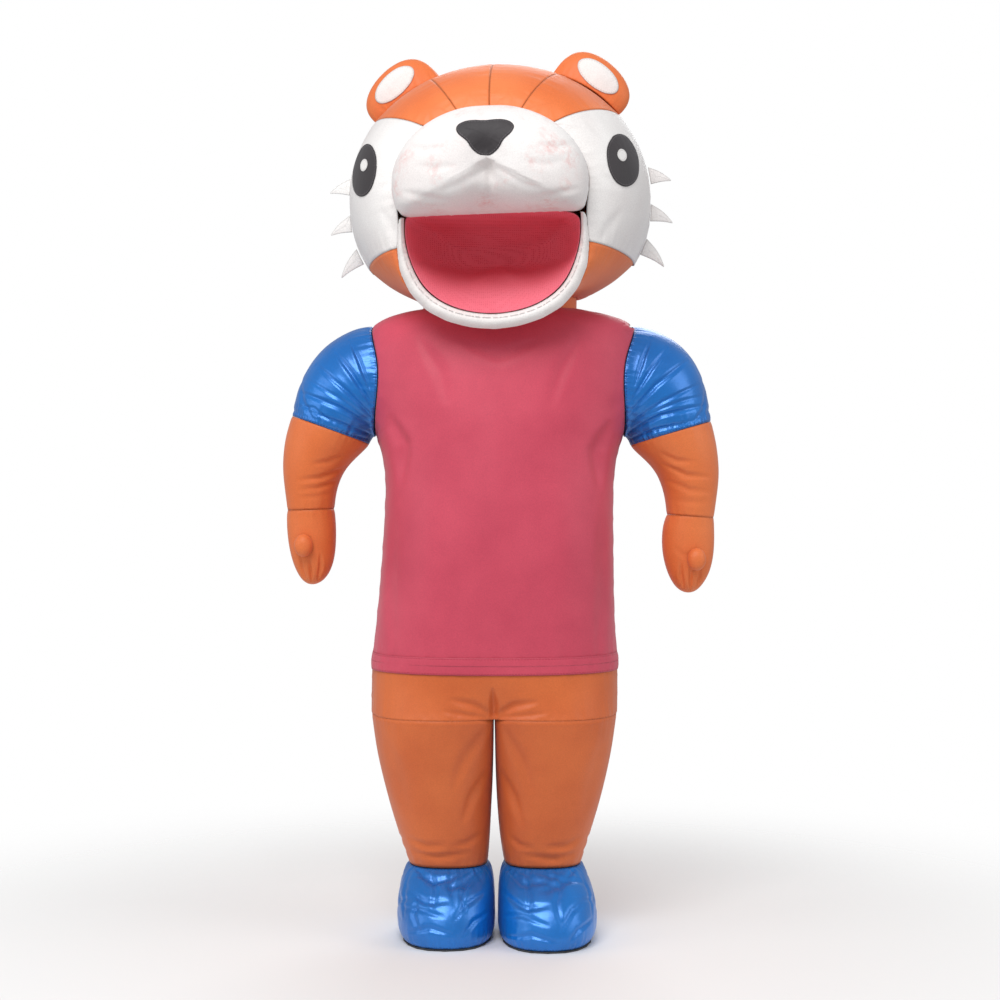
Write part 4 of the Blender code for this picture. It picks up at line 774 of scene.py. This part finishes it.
# Muzzle and mouth
# The muzzle is a puffed two-lobed white piece, creased down its middle and gathered at its edge. A white
# lip is gathered round the open mouth, and behind it an open red mesh that the wearer sees through closes
# the mouth.

BLUSH = "#E3A6A0"
HEAD_TILT = 0.0524
MOUTH_TOP = 1.773
MOUTH_TUCK = 0.009
MOUTH_TUCK_REACH = 0.025


def tuck_up(sheet):
    """Lengthens the upper ends of a mouth piece, so that they run up behind the muzzle's lower edge."""
    places = read(sheet, "co")
    level = places[:, 2] - HEAD_TILT * places[:, 0]
    places[:, 2] += MOUTH_TUCK * ease(level, MOUTH_TOP - MOUTH_TUCK_REACH, MOUTH_TOP)
    write(sheet, places)


def skin_of(sheet):
    """A sheet's surface as it is now, for other pieces to lie on."""
    points = [v.co.copy() for v in sheet.data.vertices]
    return BVHTree.FromPolygons(points, [tuple(p.vertices) for p in sheet.data.polygons])


soft_white = nylon("white_nylon_gathered", "#F6F2EF", "#ECE4E0", 0.55, 0.10, 0.0018)
# The muzzle is marked with faint pink smudges from handling
blushed = nylon("white_nylon_smudged", "#F6F2EF", "#EDE5E2", 0.55, 0.10, 0.0016)
tree = blushed.node_tree
shader = tree.nodes["Principled BSDF"]
paint = shader.inputs["Base Color"].links[0].from_socket
place = lay(tree, "ShaderNodeTexCoord").outputs["Object"]
broad = lay(tree, "ShaderNodeTexNoise", {"Vector": place, "Scale": 14.0, "Detail": 3.0})
flecked = lay(tree, "ShaderNodeTexNoise", {"Vector": place, "Scale": 70.0, "Detail": 4.0, "Roughness": 0.65})
mask = lay(tree, "ShaderNodeMapRange", {"Value": broad.outputs["Fac"], "From Min": 0.50, "From Max": 0.68})
fleck = lay(tree, "ShaderNodeMapRange", {
    "Value": flecked.outputs["Fac"], "From Min": 0.40, "From Max": 0.66, "To Max": 0.55})
smudge = lay(tree, "ShaderNodeMath", {0: mask.outputs[0], 1: fleck.outputs[0]}, operation="MULTIPLY")
marked = lay(tree, "ShaderNodeMix", {
    "Factor": smudge.outputs[0], 6: paint, 7: linear(BLUSH)}, data_type="RGBA")
tree.links.new(marked.outputs[2], shader.inputs["Base Color"])

muzzle = cut_cloth("muzzle", 3, turn=80.0, slacken=50)
press(muzzle, "front", [
    (((-0.026, 1.905), (-0.026, 1.860), (-0.026, 1.800)), 0.0110, 0.0060),
    (((-0.040, 1.868), (-0.092, 1.834), (-0.135, 1.820)), 0.0140, 0.0030),
    (((-0.008, 1.868), (0.045, 1.834), (0.088, 1.822)), 0.0140, 0.0030),
    (((-0.222, 1.930), (-0.182, 1.914), (-0.138, 1.918)), 0.0130, 0.0034),
    (((0.172, 1.934), (0.134, 1.918), (0.090, 1.924)), 0.0130, 0.0034),
    (((-0.232, 1.822), (-0.182, 1.806), (-0.128, 1.799)), 0.0110, 0.0034),
    (((0.184, 1.828), (0.130, 1.811), (0.076, 1.801)), 0.0110, 0.0034),
    (((-0.200, 1.880), (-0.160, 1.868), (-0.110, 1.874)), 0.0140, 0.0020),
    (((0.150, 1.890), (0.110, 1.876), (0.060, 1.880)), 0.0140, 0.0020),
])
pucker(muzzle, 0.0022, 0.020, 0.024, 33.0)
muzzle_skin = skin_of(muzzle)
sew(muzzle, "muzzle", blushed)

# The lip is one strip folded along its length, so its sheet goes over the edge and takes both faces
lip = cut_cloth("lip_band", 2, turn=72.0)
pucker(lip, 0.0020, 0.013, 0.020, 35.0)
tuck_up(lip)
sew(lip, "lip_band", soft_white)

# Polyester mesh: matt coral red, with holes 1.5 mm apart drawn 5 mm apart as small dark dimples
mesh_red = bpy.data.materials.new("red_polyester_mesh")
mesh_red.use_nodes = True
tree = mesh_red.node_tree
shader = tree.nodes["Principled BSDF"]
shader.inputs["Roughness"].default_value = 0.80
place = lay(tree, "ShaderNodeTexCoord").outputs["Object"]
holes = lay(tree, "ShaderNodeTexVoronoi", {"Vector": place, "Scale": 210.0, "Randomness": 0.25})
hole = lay(tree, "ShaderNodeMapRange", {
    "Value": holes.outputs["Distance"], "From Min": 0.10, "From Max": 0.42, "To Min": 0.0, "To Max": 1.0})
cloud = lay(tree, "ShaderNodeTexNoise", {"Vector": place, "Scale": 9.0, "Detail": 2.0})
ground = lay(tree, "ShaderNodeMix", {
    "Factor": cloud.outputs["Fac"], 6: linear("#EE6A7B"), 7: linear("#F68191")}, data_type="RGBA")
tint = lay(tree, "ShaderNodeMix", {
    "Factor": hole.outputs[0], 6: linear("#DC5366"), 7: ground.outputs[2]}, data_type="RGBA")
bump = lay(tree, "ShaderNodeBump", {"Height": hole.outputs[0], "Distance": 0.0003, "Strength": 1.0})
tree.links.new(tint.outputs[2], shader.inputs["Base Color"])
tree.links.new(bump.outputs["Normal"], shader.inputs["Normal"])
lining = cut_cloth("mouth_lining", 3)
pucker(lining, 0.0014, 0.028, 0.030, 37.0)
tuck_up(lining)
sew(lining, "mouth_lining", mesh_red)


# Nose and eyes
# The nose and the eyes are single pieces of charcoal oxford, turned under and topstitched flat on the
# muzzle and the cheeks, and each eye has a small white round sewn on it.

PATCH_LIFT = 0.0019
HIGHLIGHT_LIFT = 0.0034
charcoal = nylon("charcoal_nylon_oxford", "#3B3638", "#332F31", 0.58, 0.10, 0.0007, stitch="#565053")
white_round = nylon("white_nylon_round", "#F4F1EE", "#ECE6E3", 0.55, 0.10, 0.0006, stitch="#D8D2CE")


def lie_on(sheet, skin, lift):
    """Lays a sheet on the skin of the piece that carries it."""
    for v in sheet.data.vertices:
        place, normal, _, _ = skin.find_nearest(v.co)
        side = 1.0 if normal.dot(v.co - place) >= 0 else -1.0
        v.co = place + normal * (side * lift)


nose = cut_cloth("nose", 3)
lie_on(nose, muzzle_skin, PATCH_LIFT)
pucker(nose, 0.0008, 0.015, 0.012, 39.0)
sew(nose, "nose", charcoal)

for side in ("right", "left"):
    skin = skin_of(cheeks[side])
    eye = cut_cloth("eye_" + side, 3)
    lie_on(eye, skin, PATCH_LIFT)
    sew(eye, "eye_" + side, charcoal)
    highlight = cut_cloth("eye_highlight_" + side, 3)
    lie_on(highlight, skin, HIGHLIGHT_LIFT)
    sew(highlight, "eye_highlight_" + side, white_round)


# Ears
# Each ear is a puffed orange shell sewn across the crown's seam, open to the air of the head, with a white
# inner piece topstitched on its front.

for side, sign in (("right", -1), ("left", 1)):
    ear = cut_cloth("ear_" + side, 3, turn=80.0)
    pucker(ear, 0.0018, 0.022, 0.020, 41.0 + sign)
    skin = skin_of(ear)
    sew(ear, "ear_" + side, orange_oxford)
    inner = cut_cloth("ear_inner_" + side, 2)
    lie_on(inner, skin, PATCH_LIFT)
    sew(inner, "ear_inner_" + side, white_round)


# Studio
# A pale matt floor that fades into the white surround, one broad light above and in front, a weaker one
# each side and one behind.

FLOOR_RADIUS = 7.0
FLOOR_DROP = 0.0006
CAMERA_PLACE = (-0.0025, -4.7426, 1.10)
CAMERA_LENS = 67.4
bpy.ops.mesh.primitive_circle_add(
    vertices=96, radius=FLOOR_RADIUS, fill_type="NGON", location=(0, 0, -FLOOR_DROP))
floor = bpy.context.object
floor.name = "studio_floor"
pale = bpy.data.materials.new("pale_floor")
pale.use_nodes = True
tree = pale.node_tree
shader = tree.nodes["Principled BSDF"]
shader.inputs["Roughness"].default_value = 0.9
shader.inputs["Base Color"].default_value = linear("#F4F3F1")
place = lay(tree, "ShaderNodeTexCoord").outputs["Object"]
reach = lay(tree, "ShaderNodeVectorMath", {0: place}, operation="LENGTH").outputs["Value"]
edge = lay(tree, "ShaderNodeMapRange", {"Value": reach, "From Min": 0.5, "From Max": 2.4},
           interpolation_type="SMOOTHERSTEP")
clear = lay(tree, "ShaderNodeBsdfTransparent")
join = lay(tree, "ShaderNodeMixShader", {0: edge.outputs[0], 1: shader.outputs[0], 2: clear.outputs[0]})
tree.links.new(join.outputs[0], tree.nodes["Material Output"].inputs["Surface"])
floor.data.materials.append(pale)

world = bpy.data.worlds.new("studio")
bpy.context.scene.world = world
world.use_nodes = True
tree = world.node_tree
seen = tree.nodes["Background"]
seen.inputs["Color"].default_value = (1.0, 1.0, 1.0, 1.0)
seen.inputs["Strength"].default_value = 1.0
fill = lay(tree, "ShaderNodeBackground", {"Color": linear("#F4F6FA"), "Strength": 0.46})
ray = lay(tree, "ShaderNodeLightPath")
both = lay(tree, "ShaderNodeMixShader", {
    0: ray.outputs["Is Camera Ray"], 1: fill.outputs[0], 2: seen.outputs[0]})
tree.links.new(both.outputs[0], tree.nodes["World Output"].inputs["Surface"])

for name, place, aim, size, power in (
        ("key", (-0.9, -3.4, 4.4), (0, 0, 1.3), 2.6, 140),
        ("fill_right", (-3.8, -1.6, 2.0), (0, 0, 1.1), 2.4, 28),
        ("fill_left", (3.8, -1.4, 2.4), (0, 0, 1.1), 2.4, 32),
        ("rim", (0.6, 3.6, 3.8), (0, 0, 1.4), 2.4, 60)):
    data = bpy.data.lights.new(name, "AREA")
    data.size = size
    data.energy = power
    lamp = bpy.data.objects.new(name, data)
    lamp.location = place
    lamp.rotation_euler = (Vector(aim) - Vector(place)).to_track_quat("-Z", "Y").to_euler()
    bpy.context.scene.collection.objects.link(lamp)

lens = bpy.data.cameras.new("photo_view")
lens.lens = CAMERA_LENS
lens.sensor_width = 36.0
camera = bpy.data.objects.new("photo_view", lens)
camera.location = CAMERA_PLACE
camera.rotation_euler = (math.radians(90), 0, 0)
bpy.context.scene.collection.objects.link(camera)
bpy.context.scene.camera = camera
bpy.context.scene.view_settings.view_transform = "Standard"
